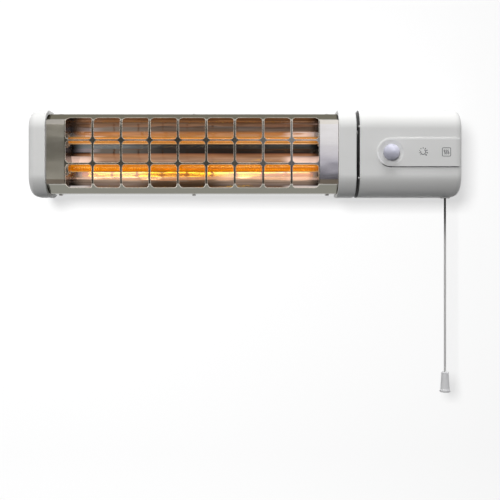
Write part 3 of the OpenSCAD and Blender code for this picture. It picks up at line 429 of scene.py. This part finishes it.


# The reflector's painted reflection colours and painted glow by height, in mm above its middle
FOLD_MM = (-52, 52)
OFF = (0.0, 0.0, 0.0)
SHEET_GREY, PAINTED_DARK, UMBER = (0.60, 0.60, 0.61), (0.11, 0.12, 0.105), (0.08, 0.06, 0.042)
# Painted reflections: the sheet's colour by height stands in for what it reflects, dark near both
# folds and copper over the ridge.
SHEET_TONES = [
    (-52, PAINTED_DARK),
    (-38, PAINTED_DARK),
    (-33, SHEET_GREY),
    (-9, SHEET_GREY),
    (-6, (0.58, 0.45, 0.37)),
    (5.5, (0.38, 0.24, 0.16)),
    (6.5, SHEET_GREY),
    (42, SHEET_GREY),
    (46, UMBER),
    (52, UMBER),
]
UPPER_GLEAM = [
    (-52, OFF),
    (-6, OFF),
    (-5, (0.34, 0.19, 0.12)),
    (3, (0.26, 0.12, 0.055)),
    (5.5, (0.12, 0.04, 0.018)),
    (6.5, OFF),
    (19.5, OFF),
    (24, (0.46, 0.19, 0.05)),
    (34, (0.38, 0.14, 0.04)),
    (37, (0.12, 0.075, 0.05)),
    (45, (0.045, 0.024, 0.014)),
    (48, OFF),
]
CREAM_GLEAM = [
    (-44, OFF),
    (-38, (0.045, 0.035, 0.025)),
    (-33, (0.21, 0.145, 0.105)),
    (-27, (0.43, 0.30, 0.21)),
    (-22, (0.46, 0.30, 0.28)),
    (-13, (0.42, 0.28, 0.23)),
    (-6, (0.34, 0.21, 0.15)),
    (-5, OFF),
]
AMBER_GLEAM = [
    (-44, OFF),
    (-38, (0.02, 0.012, 0.007)),
    (-33, (0.06, 0.035, 0.02)),
    (-27, (0.20, 0.10, 0.05)),
    (-22, (0.10, 0.05, 0.03)),
    (-13, (0.28, 0.14, 0.07)),
    (-6, (0.34, 0.20, 0.14)),
    (-5, OFF),
]


def fold_ramp(r, stops_mm):
    """A colour for each height on the reflector."""
    low, high = FOLD_MM
    height = r.ranged(r.axis("Z"), low * MM, high * MM, 0, 1)
    return r.ramp(height, [((z - low) / (high - low), colour) for z, colour in stops_mm])


def sheet_tone(r, x, height, under_tube, waves):
    """Painted reflection colours on the sheet: a blue flank below the upper tube, and painted
    shade close under that tube.
    """
    blue = r.blend(r.fade(x, -0.17, -0.11), (0.36, 0.37, 0.385), (0.115, 0.125, 0.14))
    blue = r.blend(r.fade(x, 0.0, 0.05), blue, (0.22, 0.225, 0.225))
    flank = r.band(height, 0.0065, 0.0195, 0.0012)
    tone = r.blend(flank, fold_ramp(r, SHEET_TONES), blue)
    tone = r.blend(r.times(waves, 0.2), tone, (0.50, 0.47, 0.44))
    return r.blend(under_tube, tone, (0.02, 0.02, 0.023))


def sheet_gleam(r, x, height, under_tube):
    """Colour and strength of the painted glow and reflections of the tubes' light on the sheet,
    brighter at its ends.

    Below the ridge it is amber in the middle of the length and cream on both sides of that.
    """
    middle = r.band(x, -0.125, -0.055, 0.035)
    lower = r.blend(middle, fold_ramp(r, CREAM_GLEAM), fold_ramp(r, AMBER_GLEAM))
    over_ridge = r.ranged(height, -0.0062, -0.0052, 0, 1)
    gleam = r.blend(over_ridge, lower, fold_ramp(r, UPPER_GLEAM))
    # Painted dark reflection under the upper tube.
    steely = r.blend(r.fade(x, -0.19, -0.105), (0.14, 0.15, 0.152), (0.012, 0.014, 0.016))
    steely = r.blend(r.fade(x, -0.02, 0.05), steely, (0.03, 0.032, 0.03))
    gleam = r.blend(under_tube, gleam, steely)
    # Painted highlights at both ends of the sheet, along the ridge and the lower lip, and a pale
    # patch at the far left.
    ends = r.math("SUBTRACT", 1.0, r.band(x, -0.205, 0.048, 0.018))
    ridge = r.times(ends, r.band(height, -0.0062, 0.0008, 0.0018))
    gleam = r.blend(ridge, gleam, (0.52, 0.35, 0.295))
    lip = r.times(ends, r.band(height, -0.050, -0.0405, 0.0018))
    gleam = r.blend(lip, gleam, (0.57, 0.52, 0.50))
    far_left = r.ranged(x, -0.215, -0.200, 1, 0)
    gleam = r.blend(
        r.times(far_left, r.band(height, 0.0080, 0.0130, 0.0008)), gleam, (0.17, 0.15, 0.165)
    )
    between_ends = r.band(x, -0.222, 0.084, 0.020)
    lit = r.math("MAXIMUM", between_ends, r.math("MAXIMUM", ridge, lip))
    streaks = r.ranged(r.noise((16, 160, 160), 3), 0.3, 0.7, 0.7, 1.25)
    return gleam, r.times(lit, streaks)


def mirror_finish():
    """Bright rolled aluminium with painted glow, reflections and shade from the tubes; its back is
    plain.
    """
    r = Recipe("reflector_mirror")
    x, height = r.axis("X"), r.axis("Z")
    waves = r.noise((9, 55, 55), 2)
    lines = brushed(r, 10, 1500)
    under_tube = r.band(height, 0.0132, 0.0197, 0.0007)
    inner = r.ranged(r.facing("Y"), 0.02, -0.02, 0, 1)
    gleam, strength = sheet_gleam(r, x, height, under_tube)
    return r.principled(
        Base_Color=r.blend(inner, SHEET_GREY, sheet_tone(r, x, height, under_tube, waves)),
        Metallic=1.0,
        Roughness=r.ranged(lines, 0.3, 0.7, 0.03, 0.07),
        Specular_Tint=r.blend(under_tube, (1.0, 1.0, 1.0), (0.06, 0.06, 0.065)),
        Emission_Color=gleam,
        Emission_Strength=r.times(strength, inner),
        Normal=r.bump(lines, 2, under=r.bump(waves, 600)),
    )


def end_sheet_finish():
    """The reflector's ends: the same sheet, dark and dull."""
    r = Recipe("reflector_end")
    stain = r.ranged(r.noise(90, 4), 0.35, 0.65, 0, 1)
    return r.principled(
        Base_Color=r.blend(stain, (0.05, 0.055, 0.075), (0.22, 0.19, 0.17)),
        Metallic=1.0,
        Roughness=r.ranged(r.noise(300, 3), 0.3, 0.7, 0.16, 0.34),
        Normal=r.bump(r.noise(140, 3), 500),
    )


# Glow, glass and ceramic
def quartz_finish():
    """Quartz tube: clear at the ends, filled with an amber glow over the coil."""
    low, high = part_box("heating_coil_upper")
    coil_start, coil_end, soft = low[0], high[0], 0.012
    r = Recipe("quartz")
    x = r.axis("X")
    fall = r.ranged(x, coil_end - soft, coil_end, 1, 0, smooth=True)
    over_coil = r.times(r.fade(x, coil_start, coil_start + soft), fall)
    cloud = r.ranged(r.noise((60, 300, 300), 3), 0.25, 0.75, 0.75, 1.15)
    lower_tube = r.ranged(r.axis("Z"), -0.002, 0.002, 1, 0)
    clear = r.blend(r.noise(80, 3), (1.0, 0.97, 0.93), (1.0, 1.0, 1.0))
    amber = r.blend(lower_tube, (1.0, 0.86, 0.62), (1.0, 0.72, 0.16))
    return r.principled(
        Base_Color=r.blend(over_coil, clear, amber),
        Roughness=r.ranged(r.noise(300, 3), 0.3, 0.7, 0.02, 0.08),
        Transmission_Weight=1.0,
        IOR=1.46,
        Emission_Color=r.blend(lower_tube, (1.0, 0.50, 0.11), (1.0, 0.36, 0.004)),
        Emission_Strength=r.times(r.times(over_coil, cloud), 0.085),
    )


def hot_wire_finish():
    r = Recipe("glowing_wire")
    heat = r.noise((30, 400, 400), 3)
    hotter = r.ranged(heat, 0.3, 0.7, 0, 1)
    return r.principled(
        Base_Color=(0.10, 0.05, 0.03),
        Metallic=0.6,
        Roughness=0.6,
        Emission_Color=r.blend(hotter, (1.0, 0.20, 0.004), (1.0, 0.34, 0.02)),
        Emission_Strength=r.ranged(heat, 0.3, 0.7, 0.32, 0.52),
        Normal=r.bump(heat, 20),
    )


def ceramic_finish():
    r = Recipe("ceramic")
    cloud = r.ranged(r.noise(220, 5, 0.7), 0.4, 0.62, 0, 1)
    return r.principled(
        Base_Color=r.blend(cloud, (0.72, 0.67, 0.57), (0.86, 0.83, 0.76)),
        Roughness=r.ranged(r.noise(160, 4), 0.3, 0.7, 0.55, 0.75),
        Normal=r.bump(r.noise(1800, 4, 0.7), 40),
    )


# Sleeves and cord
def woven(r, count, pitch):
    """Height of a fine braid, from two crossed sets of diagonal waves."""
    waves = []
    for tilt in (1, -1):
        wave = r.node("ShaderNodeTexWave", wave_type="BANDS", bands_direction="X")
        wave.inputs["Scale"].default_value = 1.0
        r.link(r.scaled((count, pitch * tilt, pitch)), wave.inputs["Vector"])
        waves.append(wave.outputs["Fac"])
    return r.times(*waves)


def sleeve_finish():
    r = Recipe("lead_sleeve")
    weave = woven(r, 420, 300)
    return r.principled(
        Base_Color=r.blend(weave, (0.42, 0.41, 0.36), (0.66, 0.64, 0.58)),
        Roughness=0.7,
        Sheen_Weight=0.2,
        Normal=r.bump(weave, 100),
    )


def cord_finish():
    """Pale braid, with a painted shadow of the box close under it, as in the photograph."""
    r = Recipe("cord_white")
    fibre = r.noise((1800, 1800, 260), 4)
    # Painted shadow: the braid darkens towards its top, under the box.
    shade = r.ranged(r.axis("Z"), -0.125, -0.074, 0, 0.98, smooth=True)
    tone = r.blend(fibre, (0.50, 0.50, 0.50), (0.78, 0.78, 0.77))
    return r.principled(
        Base_Color=r.blend(shade, tone, (0.012, 0.012, 0.012)),
        Roughness=r.ranged(fibre, 0.3, 0.7, 0.6, 0.8),
        Sheen_Weight=0.25,
        Normal=r.bump(fibre, 60),
    )


# The finish of each material slot, and of the nodes that have one of their own
finish = {
    "white_moulding": moulding("white_moulding", WHITE, WHITE_SHADE),
    "black_moulding": moulding(
        "black_moulding", (0.045, 0.045, 0.048), (0.03, 0.03, 0.032), roughness=0.5
    ),
    "knob_moulding": moulding(
        "knob_moulding", (0.56, 0.56, 0.66), (0.52, 0.52, 0.62), roughness=0.3, coat=0.3
    ),
    "pull_moulding": moulding(
        "pull_moulding", (0.82, 0.82, 0.83), (0.77, 0.77, 0.78), roughness=0.4
    ),
    "nylon": uneven(
        "nylon",
        tone_noise=(120, 3),
        tones=((0.80, 0.77, 0.68), (0.88, 0.86, 0.79)),
        gloss_noise=(90, 3),
        gloss=(0.38, 0.5),
        skin_noise=(2200, 2),
        skin_um=10,
        Subsurface_Weight=0.08,
        Subsurface_Radius=(0.003, 0.003, 0.002),
    ),
    "rubber_seal": uneven(
        "rubber_seal",
        tone_noise=(200, 4),
        tones=((0.012, 0.012, 0.013), (0.03, 0.03, 0.032)),
        gloss_noise=(70, 3),
        gloss=(0.62, 0.8),
        skin_noise=(3000, 3),
        skin_um=20,
        Sheen_Weight=0.15,
    ),
    "polished_steel": polished_steel_finish(),
    "casing_steel": casing_steel_finish(),
    "plated_steel": plated_steel_finish(),
    "screw_steel": uneven(
        "screw_steel",
        tone_noise=(400, 4),
        tones=((0.42, 0.42, 0.43), (0.58, 0.58, 0.57)),
        gloss_noise=(700, 3),
        gloss=(0.22, 0.36),
        skin_noise=(2500, 2),
        skin_um=6,
        Metallic=1.0,
    ),
    "brass": uneven(
        "brass",
        tone_noise=(150, 4),
        tones=((0.62, 0.40, 0.14), (0.78, 0.56, 0.25)),
        gloss_noise=(90, 4),
        gloss=(0.2, 0.36),
        skin_noise=((300, 3000, 3000), 2),
        skin_um=6,
        Metallic=1.0,
    ),
    "reflector_mirror": mirror_finish(),
    "quartz": quartz_finish(),
    "glowing_wire": hot_wire_finish(),
    "ceramic": ceramic_finish(),
    "lead_sleeve": sleeve_finish(),
    "cord_white": cord_finish(),
}
printed = uneven(
    "printed_mark",
    tone_noise=(1200, 4),
    tones=((0.10, 0.10, 0.11), (0.16, 0.16, 0.17)),
    gloss_noise=(900, 3),
    gloss=(0.45, 0.6),
    skin_noise=(3000, 2),
    skin_um=6,
)
dark_end_sheet = end_sheet_finish()
# Painted shade on the walls of the gap, for the box base and the right end cap.
gap_moulding = moulding("gap_moulding", WHITE, WHITE_SHADE, painted_light=gap_painted_shade)
own_finish = {
    "reflector_end_left": dark_end_sheet,
    "reflector_end_right": dark_end_sheet,
    # The box cover carries painted shade in the gap and below its raised bar, and painted
    # highlights on the bar's lip.
    "box_cover": moulding("box_moulding", WHITE, WHITE_SHADE, painted_light=bar_painted_light),
    "box_base": gap_moulding,
    "end_cap_right": gap_moulding,
}


def dress(piece, material):
    piece.data.materials.clear()
    piece.data.materials.append(material)


def dress_cad_nodes():
    """Each CAD node takes its own finish, or that of the material slot that the record names."""
    slot_of = {part["node"]: part["material_slot"] for part in frame["record"]["subparts"]}
    for name, piece in frame["nodes"].items():
        dress(piece, own_finish.get(name) or finish[slot_of[name]])


dress_cad_nodes()


# Pull cord: a braid of the same length and route as its solid, from the plunger to the pull
CORD_D = 3 * MM
CORD_AT = (0.26795, -0.072)
CORD_TOP = -0.044
CORD_LENGTH = 0.2475


def add_cord():
    steps, sides = 400, 32
    strands, lay, groove = 4, 0.006, 0.10
    route, verts = [], []
    for i in range(steps + 1):
        z = CORD_TOP - CORD_LENGTH * i / steps
        route.append((*CORD_AT, z))
        turn = 2 * math.pi * (CORD_TOP - z) / lay
        for a in ring_angles(sides):
            relief = abs(math.sin(strands * a + turn) * math.sin(strands * a - turn))
            r = CORD_D / 2 * (1 - groove * (1 - relief))
            verts.append((CORD_AT[0] + r * math.cos(a), CORD_AT[1] + r * math.sin(a), z))
    cord = mesh_object("pull_cord_braid", verts, ring_faces(steps + 1, sides))
    dress(cord, finish["cord_white"])
    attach(cord, "pull")
    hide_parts("pull_cord")


add_cord()


# Return spring of the pull switch
def add_spring():
    low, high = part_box("return_spring")
    seat_z, free_length, travel = -0.038, 0.018, 0.008
    wire, turns, per_turn, closed_turns = 1.1 * MM, 6.5, 24, 0.75
    radius = (high[0] - low[0]) / 2 - wire / 2
    middle_x, middle_y = (low[0] + high[0]) / 2, (low[1] + high[1]) / 2
    z0, z1 = seat_z + wire / 2, seat_z + free_length - wire / 2
    points = []
    for i in range(int(turns * per_turn) + 1):
        turn = i / per_turn
        share = min(max((turn - closed_turns) / (turns - 2 * closed_turns), 0), 1)
        a = 2 * math.pi * turn
        x, y = middle_x + radius * math.cos(a), middle_y + radius * math.sin(a)
        points.append((x, y, z0 + (z1 - z0) * share))
    spring = swept_tube("return_spring_wire", points, wire / 2, 8)
    dress(spring, finish["screw_steel"])
    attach(spring, "wall_mount")
    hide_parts("return_spring")
    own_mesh(spring)


add_spring()


# Glowing coils: close curls of the real pitch, inside the tubes
def add_coil(name, node):
    low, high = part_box(node)
    wire, pitch, per_turn = 0.9 * MM, 2.3 * MM, 14
    radius = (high[2] - low[2]) / 2 - wire / 2
    middle_y, middle_z = (low[1] + high[1]) / 2, (low[2] + high[2]) / 2
    x0, x1 = low[0] + wire, high[0] - wire
    steps = int((x1 - x0) / pitch * per_turn)
    points = []
    for i in range(steps + 1):
        a = 2 * math.pi * i / per_turn
        x = x0 + (x1 - x0) * i / steps
        points.append((x, middle_y + radius * math.cos(a), middle_z + radius * math.sin(a)))
    coil = swept_tube(name, points, wire / 2, 6)
    dress(coil, finish["glowing_wire"])
    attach(coil, "head")
    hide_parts(node)


for place in ("upper", "lower"):
    add_coil(f"glow_coil_{place}", f"heating_coil_{place}")


# Screws with domed heads and cross recesses, in mm
def cross_outline(reach, half):
    quarter = [(reach, -half), (reach, half), (half, half)]
    points = []
    for turn in range(4):
        c, t = round(math.cos(turn * math.pi / 2)), round(math.sin(turn * math.pi / 2))
        points += [(c * x - t * y, t * x + c * y) for x, y in quarter]
    return points


def screw_mesh(head_r, head_h, shank_r, shank_l):
    """Verts and faces of a screw whose head sits on z = 0, its shank towards -z."""
    sides = 32
    profile = [
        (shank_r * 0.7, -shank_l),
        (shank_r, -shank_l + shank_r * 0.5),
        (shank_r, 0),
        (head_r, 0),
        (head_r, head_h * 0.45),
        (head_r * 0.96, head_h * 0.70),
        (head_r * 0.86, head_h * 0.90),
        (head_r * 0.70, head_h),
    ]
    verts = [(0, 0, -shank_l)]
    for radius, z in profile:
        verts += [(radius * math.cos(a), radius * math.sin(a), z) for a in ring_angles(sides)]
    faces = [(0, 1 + (k + 1) % sides, 1 + k) for k in range(sides)]
    for i in range(len(profile) - 1):
        faces += belt(1 + i * sides, 1 + (i + 1) * sides, sides)
    rim = 1 + (len(profile) - 1) * sides
    cross = cross_outline(head_r * 0.52, head_r * 0.11)
    top, floor = len(verts), len(verts) + len(cross)
    verts += [(x, y, head_h) for x, y in cross]
    verts += [(x * 0.72, y * 0.72, head_h * 0.35) for x, y in cross]
    rim_loop, top_loop = list(range(rim, rim + sides)), list(range(top, floor))
    loops = [[Vector(verts[k]) for k in loop] for loop in (rim_loop, top_loop)]
    index = rim_loop + top_loop
    faces += [tuple(index[i] for i in tri) for tri in tessellate_polygon(loops)]
    faces += belt(top, floor, len(cross))
    faces.append(tuple(range(floor, floor + len(cross))))
    return verts, faces


def add_screws(name, node, body, places, **size_mm):
    """All screws of a node in one object; each place is a head's seat and the way it faces."""
    screw_verts, screw_faces = screw_mesh(**size_mm)
    screw_turn = 0.7
    parts = []
    for i, (seat, facing) in enumerate(places):
        turn = Vector(facing).to_track_quat("Z", "Y").to_matrix()
        turn = turn @ Matrix.Rotation(screw_turn * i, 3, "Z")
        verts = [(Vector(seat) + turn @ Vector(v)) * MM for v in screw_verts]
        parts.append((verts, screw_faces))
    screws = mesh_object(name, *joined(parts), smooth=False)
    skin = bmesh.new()
    skin.from_mesh(screws.data)
    bmesh.ops.recalc_face_normals(skin, faces=skin.faces)
    skin.to_mesh(screws.data)
    skin.free()
    screws.data.shade_smooth()
    screws.data.set_sharp_from_angle(angle=math.radians(40))
    dress(screws, finish["screw_steel"])
    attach(screws, body)
    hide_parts(node)


def add_all_screws():
    boss_yz, cap_ends = ((-88, 30), (-88, -30), (-36, 26)), ((-280.45, -1), (142.25, 1))
    caps = [((x, y, z), (side, 0, 0)) for x, side in cap_ends for y, z in boss_yz]
    steel_x, cover_x = (-248.3, -69.1, 110.1), (171.45, 241.45)
    steel = [((x, -65, side * 53.3), (0, 0, side)) for x in steel_x for side in (1, -1)]
    cover = [((x, -52, side * 55.5), (0, 0, side)) for x in cover_x for side in (1, -1)]
    head_size = {"head_r": 2.88, "head_h": 1.92, "shank_r": 1.6}
    box_size = {"head_r": 2.7, "head_h": 1.75, "shank_r": 1.5}
    add_screws("cap_screw_heads", "cap_screws", "head", caps, **head_size, shank_l=17.2)
    add_screws("grille_screw_heads", "grille_screws", "head", steel, **head_size, shank_l=4)
    add_screws("cover_screw_heads", "cover_screws", "wall_mount", cover, **box_size, shank_l=7)


add_all_screws()


# Two small moulded stops on the box's edge, in the gap to the head
def stop_mesh(z):
    """Verts and faces of one rounded stop, which stands out from the box towards the head."""
    edge_x, middle_y = 0.14975, -0.0985
    reach, half_y, half_z = 0.0021, 0.0030, 0.0015
    rings, sides, tip = 5, 14, 0.02
    verts = []
    for i in range(rings):
        a = math.radians(90 * i / (rings - 1))
        x = edge_x - reach * math.sin(a)
        size = math.cos(a) if i < rings - 1 else tip
        for b in ring_angles(sides):
            y = middle_y + half_y * size * math.cos(b)
            verts.append((x, y, z + half_z * size * math.sin(b)))
    return verts, ring_faces(rings, sides)


def add_gap_stops():
    stops = mesh_object("gap_stops", *joined([stop_mesh(z) for z in (0.0329, -0.0342)]))
    dress(stops, finish["white_moulding"])
    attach(stops, "wall_mount")


add_gap_stops()


# Printed marks on the raised bar, both generic: a dial's scale and a square with heat waves
MARK_Y = -0.10524


def ribbon(points, half, closed=False):
    """Verts and faces of a flat band along points of the bar's face, which are X and Z in mm."""
    count = len(points)
    verts = []
    for i, p in enumerate(points):
        before = points[(i - 1) % count] if closed or i > 0 else p
        after = points[(i + 1) % count] if closed or i < count - 1 else p
        along = (Vector(after) - Vector(before)).normalized()
        side = Vector((-along.y, along.x)) * half
        for s in (1, -1):
            verts.append(((p[0] + s * side.x) * MM, MARK_Y, (p[1] + s * side.y) * MM))
    faces = []
    for i in range(count if closed else count - 1):
        this, following = 2 * i, (2 * i + 2) % (2 * count)
        faces.append((this, this + 1, following + 1, following))
    return verts, faces


def arc(centre, radius, start, end, steps):
    """Points from one angle to another, in degrees."""
    points = []
    for i in range(steps + 1):
        a = math.radians(start + (end - start) * i / steps)
        points.append((centre[0] + radius * math.cos(a), centre[1] + radius * math.sin(a)))
    return points


def dial_bands(x, z):
    """Nine ticks that grow longer and bolder round an open circle."""
    ticks, first, between = 9, 225, 33.75
    bands = []
    for i in range(ticks):
        a = math.radians(first - between * i)
        ends = [(x + d * math.cos(a), z + d * math.sin(a)) for d in (4.4, 5.4 + 0.12 * i)]
        bands.append(ribbon(ends, 0.34 + 0.06 * i))
    bands.append(ribbon(arc((x, z), 3.2, 60, -200, 40), 0.5))
    return bands


def heat_bands(x, z):
    """A rounded square round three rising waves."""
    half, corner = 5.4, 1.2
    reach = half - corner
    outline = []
    for turn, (sx, sz) in enumerate(((1, 1), (-1, 1), (-1, -1), (1, -1))):
        outline += arc((x + sx * reach, z + sz * reach), corner, 90 * turn, 90 * turn + 90, 6)
    bands = [ribbon(outline, 0.4, closed=True)]
    steps, wave_half, swing = 24, 3, 0.7
    for dx in (-2.4, 0, 2.4):
        wave = []
        for i in range(steps + 1):
            sway = swing * math.sin(2 * math.pi * i / steps)
            wave.append((x + dx + sway, z - wave_half + 2 * wave_half * i / steps))
        bands.append(ribbon(wave, 0.56))
    return bands


def add_marks():
    bands = dial_bands(231.3, -1.0) + heat_bands(261.6, -1.0)
    marks = mesh_object("printed_marks", *joined(bands), smooth=False)
    dress(marks, printed)
    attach(marks, "wall_mount")


add_marks()


# Studio: a pale wall that curves into a pale floor, soft lamps and grey reflection cards
def lit_for_view(name, share, colour):
    """A matt pale surface that the camera, gloss and glass also see partly as its own light."""
    r = Recipe(name)
    matt = r.node("ShaderNodeBsdfDiffuse")
    matt.inputs["Color"].default_value = (*colour, 1)
    own = r.node("ShaderNodeEmission")
    own.inputs["Color"].default_value = (1, 1, 1, 1)
    seen = r.node("ShaderNodeMixShader")
    rays = r.node("ShaderNodeLightPath")
    viewed = r.math("MAXIMUM", rays.outputs["Is Camera Ray"], rays.outputs["Is Glossy Ray"])
    viewed = r.math("MAXIMUM", viewed, rays.outputs["Is Transmission Ray"])
    r.link(r.times(viewed, share), seen.inputs["Fac"])
    r.link(matt.outputs["BSDF"], seen.inputs[1])
    r.link(own.outputs["Emission"], seen.inputs[2])
    one_sided = r.node("ShaderNodeMixShader")
    clear = r.node("ShaderNodeBsdfTransparent")
    r.link(r.node("ShaderNodeNewGeometry").outputs["Backfacing"], one_sided.inputs["Fac"])
    r.link(seen.outputs["Shader"], one_sided.inputs[1])
    r.link(clear.outputs["BSDF"], one_sided.inputs[2])
    r.link(one_sided.outputs["Shader"], r.output.inputs["Surface"])
    return r.material


def add_backdrop():
    top, floor, front, half, cove, steps = 1.4, -0.62, -2.6, 2.2, 0.2, 12
    wall_y = 0.4 * MM
    profile = [(wall_y, top)]
    for i in range(steps + 1):
        a = math.pi / 2 * i / steps
        profile.append((wall_y - cove * (1 - math.cos(a)), floor + cove * (1 - math.sin(a))))
    profile.append((front, floor))
    verts = [(x, y, z) for x in (-half, half) for y, z in profile]
    n = len(profile)
    faces = [(i, i + 1, n + i + 1, n + i) for i in range(n - 1)]
    own_light, pale = 0.63, (0.84, 0.84, 0.84)
    backdrop = mesh_object("backdrop", verts, faces)
    dress(backdrop, lit_for_view("backdrop", own_light, pale))
    backdrop.visible_diffuse = False
    backdrop.visible_shadow = False
    return backdrop


def add_world():
    """Faint light from all round, and a pale background that camera, gloss and glass see."""
    world = bpy.data.worlds.new("world")
    bpy.context.scene.world = world
    world.use_nodes = True
    tree = world.node_tree
    tree.nodes.clear()
    out = tree.nodes.new("ShaderNodeOutputWorld")
    light = tree.nodes.new("ShaderNodeBackground")
    light.inputs["Color"].default_value = (0.95, 0.97, 1.0, 1)
    light.inputs["Strength"].default_value = 0.07
    pale = tree.nodes.new("ShaderNodeBackground")
    pale.inputs["Color"].default_value = (0.80, 0.80, 0.80, 1)
    rays = tree.nodes.new("ShaderNodeLightPath")
    viewed = rays.outputs["Is Camera Ray"]
    for kind in ("Is Glossy Ray", "Is Transmission Ray"):
        either = tree.nodes.new("ShaderNodeMath")
        either.operation = "MAXIMUM"
        tree.links.new(viewed, either.inputs[0])
        tree.links.new(rays.outputs[kind], either.inputs[1])
        viewed = either.outputs["Value"]
    seen = tree.nodes.new("ShaderNodeMixShader")
    tree.links.new(viewed, seen.inputs["Fac"])
    tree.links.new(light.outputs["Background"], seen.inputs[1])
    tree.links.new(pale.outputs["Background"], seen.inputs[2])
    tree.links.new(seen.outputs["Shader"], out.inputs["Surface"])


# Reflection cards in front, above and below, which change from left to right
CARD_HALF_W, CARD_FRONT_Y, CARD_TOP, CARD_LOW = 1.9, -2.4, 2.2, -0.6
CARD_CHANGE_X = (-0.15, 0.30)


def add_card(name, r, colour, strength, corners):
    """A glowing card that only metal and glass see."""
    glow = r.node("ShaderNodeEmission")
    r.link(colour, glow.inputs["Color"])
    r.link(strength, glow.inputs["Strength"])
    r.link(glow.outputs["Emission"], r.output.inputs["Surface"])
    card = mesh_object(name, corners, [(0, 1, 2, 3)])
    dress(card, r.material)
    card.visible_camera = False
    card.visible_diffuse = False
    card.visible_shadow = False


def add_front_card():
    """Warm and dim at the left, cool and bright at the right, both by height, over a dim foot."""
    r = Recipe("front_card")
    height, across = r.axis("Z"), r.axis("X")
    to_right = r.fade(across, *CARD_CHANGE_X)
    left = r.math(
        "ADD",
        r.ranged(height, 0.395, 0.430, 0, 0.95, smooth=True),
        r.ranged(height, 0.36, 0.28, 0.03, 0.22),
    )
    left = r.math("ADD", left, r.ranged(height, 0.28, 0.17, 0, 0.28))
    right = r.ranged(height, 0.205, 0.280, 0.05, 1.40, smooth=True)
    foot = r.ranged(across, -0.6, -0.1, 0.38, 0.03, smooth=True)
    strength = r.mix(r.fade(height, -0.25, -0.1), foot, r.mix(to_right, left, right))
    cool = r.blend(r.ranged(height, 0.30, 0.25, 0, 1), (0.97, 0.96, 1.0), (0.78, 0.75, 1.0))
    colour = r.blend(to_right, (1.0, 0.95, 0.82), cool)
    ends = ((-CARD_HALF_W, CARD_TOP), (CARD_HALF_W, CARD_TOP))
    ends += ((CARD_HALF_W, CARD_LOW), (-CARD_HALF_W, CARD_LOW))
    add_card("front_card", r, colour, strength, [(x, CARD_FRONT_Y, z) for x, z in ends])


def add_level_card(name, z, near_y, strengths, tones):
    """A card at one height, from a near edge to the front card's plane."""
    r = Recipe(name)
    strength = r.ranged(r.axis("X"), *CARD_CHANGE_X, *strengths, smooth=True)
    colour = r.blend(r.noise((1.2, 2.5, 1)), *tones)
    ends = ((-CARD_HALF_W, near_y), (CARD_HALF_W, near_y))
    ends += ((CARD_HALF_W, CARD_FRONT_Y), (-CARD_HALF_W, CARD_FRONT_Y))
    add_card(name, r, colour, strength, [(x, y, z) for x, y in ends])


# Lamps
OBJECT_MIDDLE, KNOB_MIDDLE = (0, -0.05, 0), (0.19, -0.11, 0)


def add_lamp(name, at, aim, size, watts):
    data = bpy.data.lights.new(name, "AREA")
    data.shape = "RECTANGLE"
    data.size, data.size_y = size
    data.energy = watts
    lamp = bpy.data.objects.new(name, data)
    lamp.location = at
    lamp.rotation_euler = (Vector(aim) - Vector(at)).to_track_quat("-Z", "Y").to_euler()
    bpy.context.scene.collection.objects.link(lamp)
    return lamp


def choose_lit(lamp, piece, state):
    """The lamp lights the piece alone, or with EXCLUDE all but the piece."""
    group = bpy.data.collections.new(lamp.name + "_lights")
    group.objects.link(piece)
    lamp.light_linking.receiver_collection = group
    for member in group.collection_objects:
        member.light_linking.link_state = state


def add_lamps(backdrop):
    """Five soft lamps for the heater, one for the wall, and a small one for the knob's glint."""
    for name, at, size, watts in (
        ("key", (0.25, -0.5, 2.1), (1.4, 1.2), 48),
        ("front", (-0.5, -2.15, 0.45), (1.2, 1.2), 22.5),
        ("left", (-2.0, -0.5, 0.5), (0.9, 0.9), 6.5),
        ("right", (2.0, -0.4, 0.4), (0.9, 0.9), 5),
        ("behind", (-0.3, 1.9, 0.7), (1.2, 1.2), 20),
    ):
        lamp = add_lamp(name, at, OBJECT_MIDDLE, size, watts)
        lamp.visible_glossy = False
        choose_lit(lamp, backdrop, "EXCLUDE")
    wall_lamp = add_lamp("wall_lamp", (-0.40, -1.8, 0.16), OBJECT_MIDDLE, (0.42, 0.42), 42)
    choose_lit(wall_lamp, backdrop, "INCLUDE")
    knob_glint = add_lamp("knob_glint", (0.655, -0.83, 0.465), KNOB_MIDDLE, (0.07, 0.07), 2.4)
    choose_lit(knob_glint, frame["nodes"]["control_knob"], "INCLUDE")


backdrop = add_backdrop()
add_world()
add_front_card()
low_tones = ((0.75, 0.62, 0.50), (1.0, 0.86, 0.72))
high_tones = ((0.95, 0.90, 0.84), (1.0, 0.98, 0.95))
add_level_card("low_card", CARD_LOW, -0.25, (0.30, 0.30), low_tones)
add_level_card("high_card", CARD_TOP, -0.05, (0.72, 1.3), high_tones)
add_lamps(backdrop)

bpy.context.scene.view_settings.view_transform = "Standard"
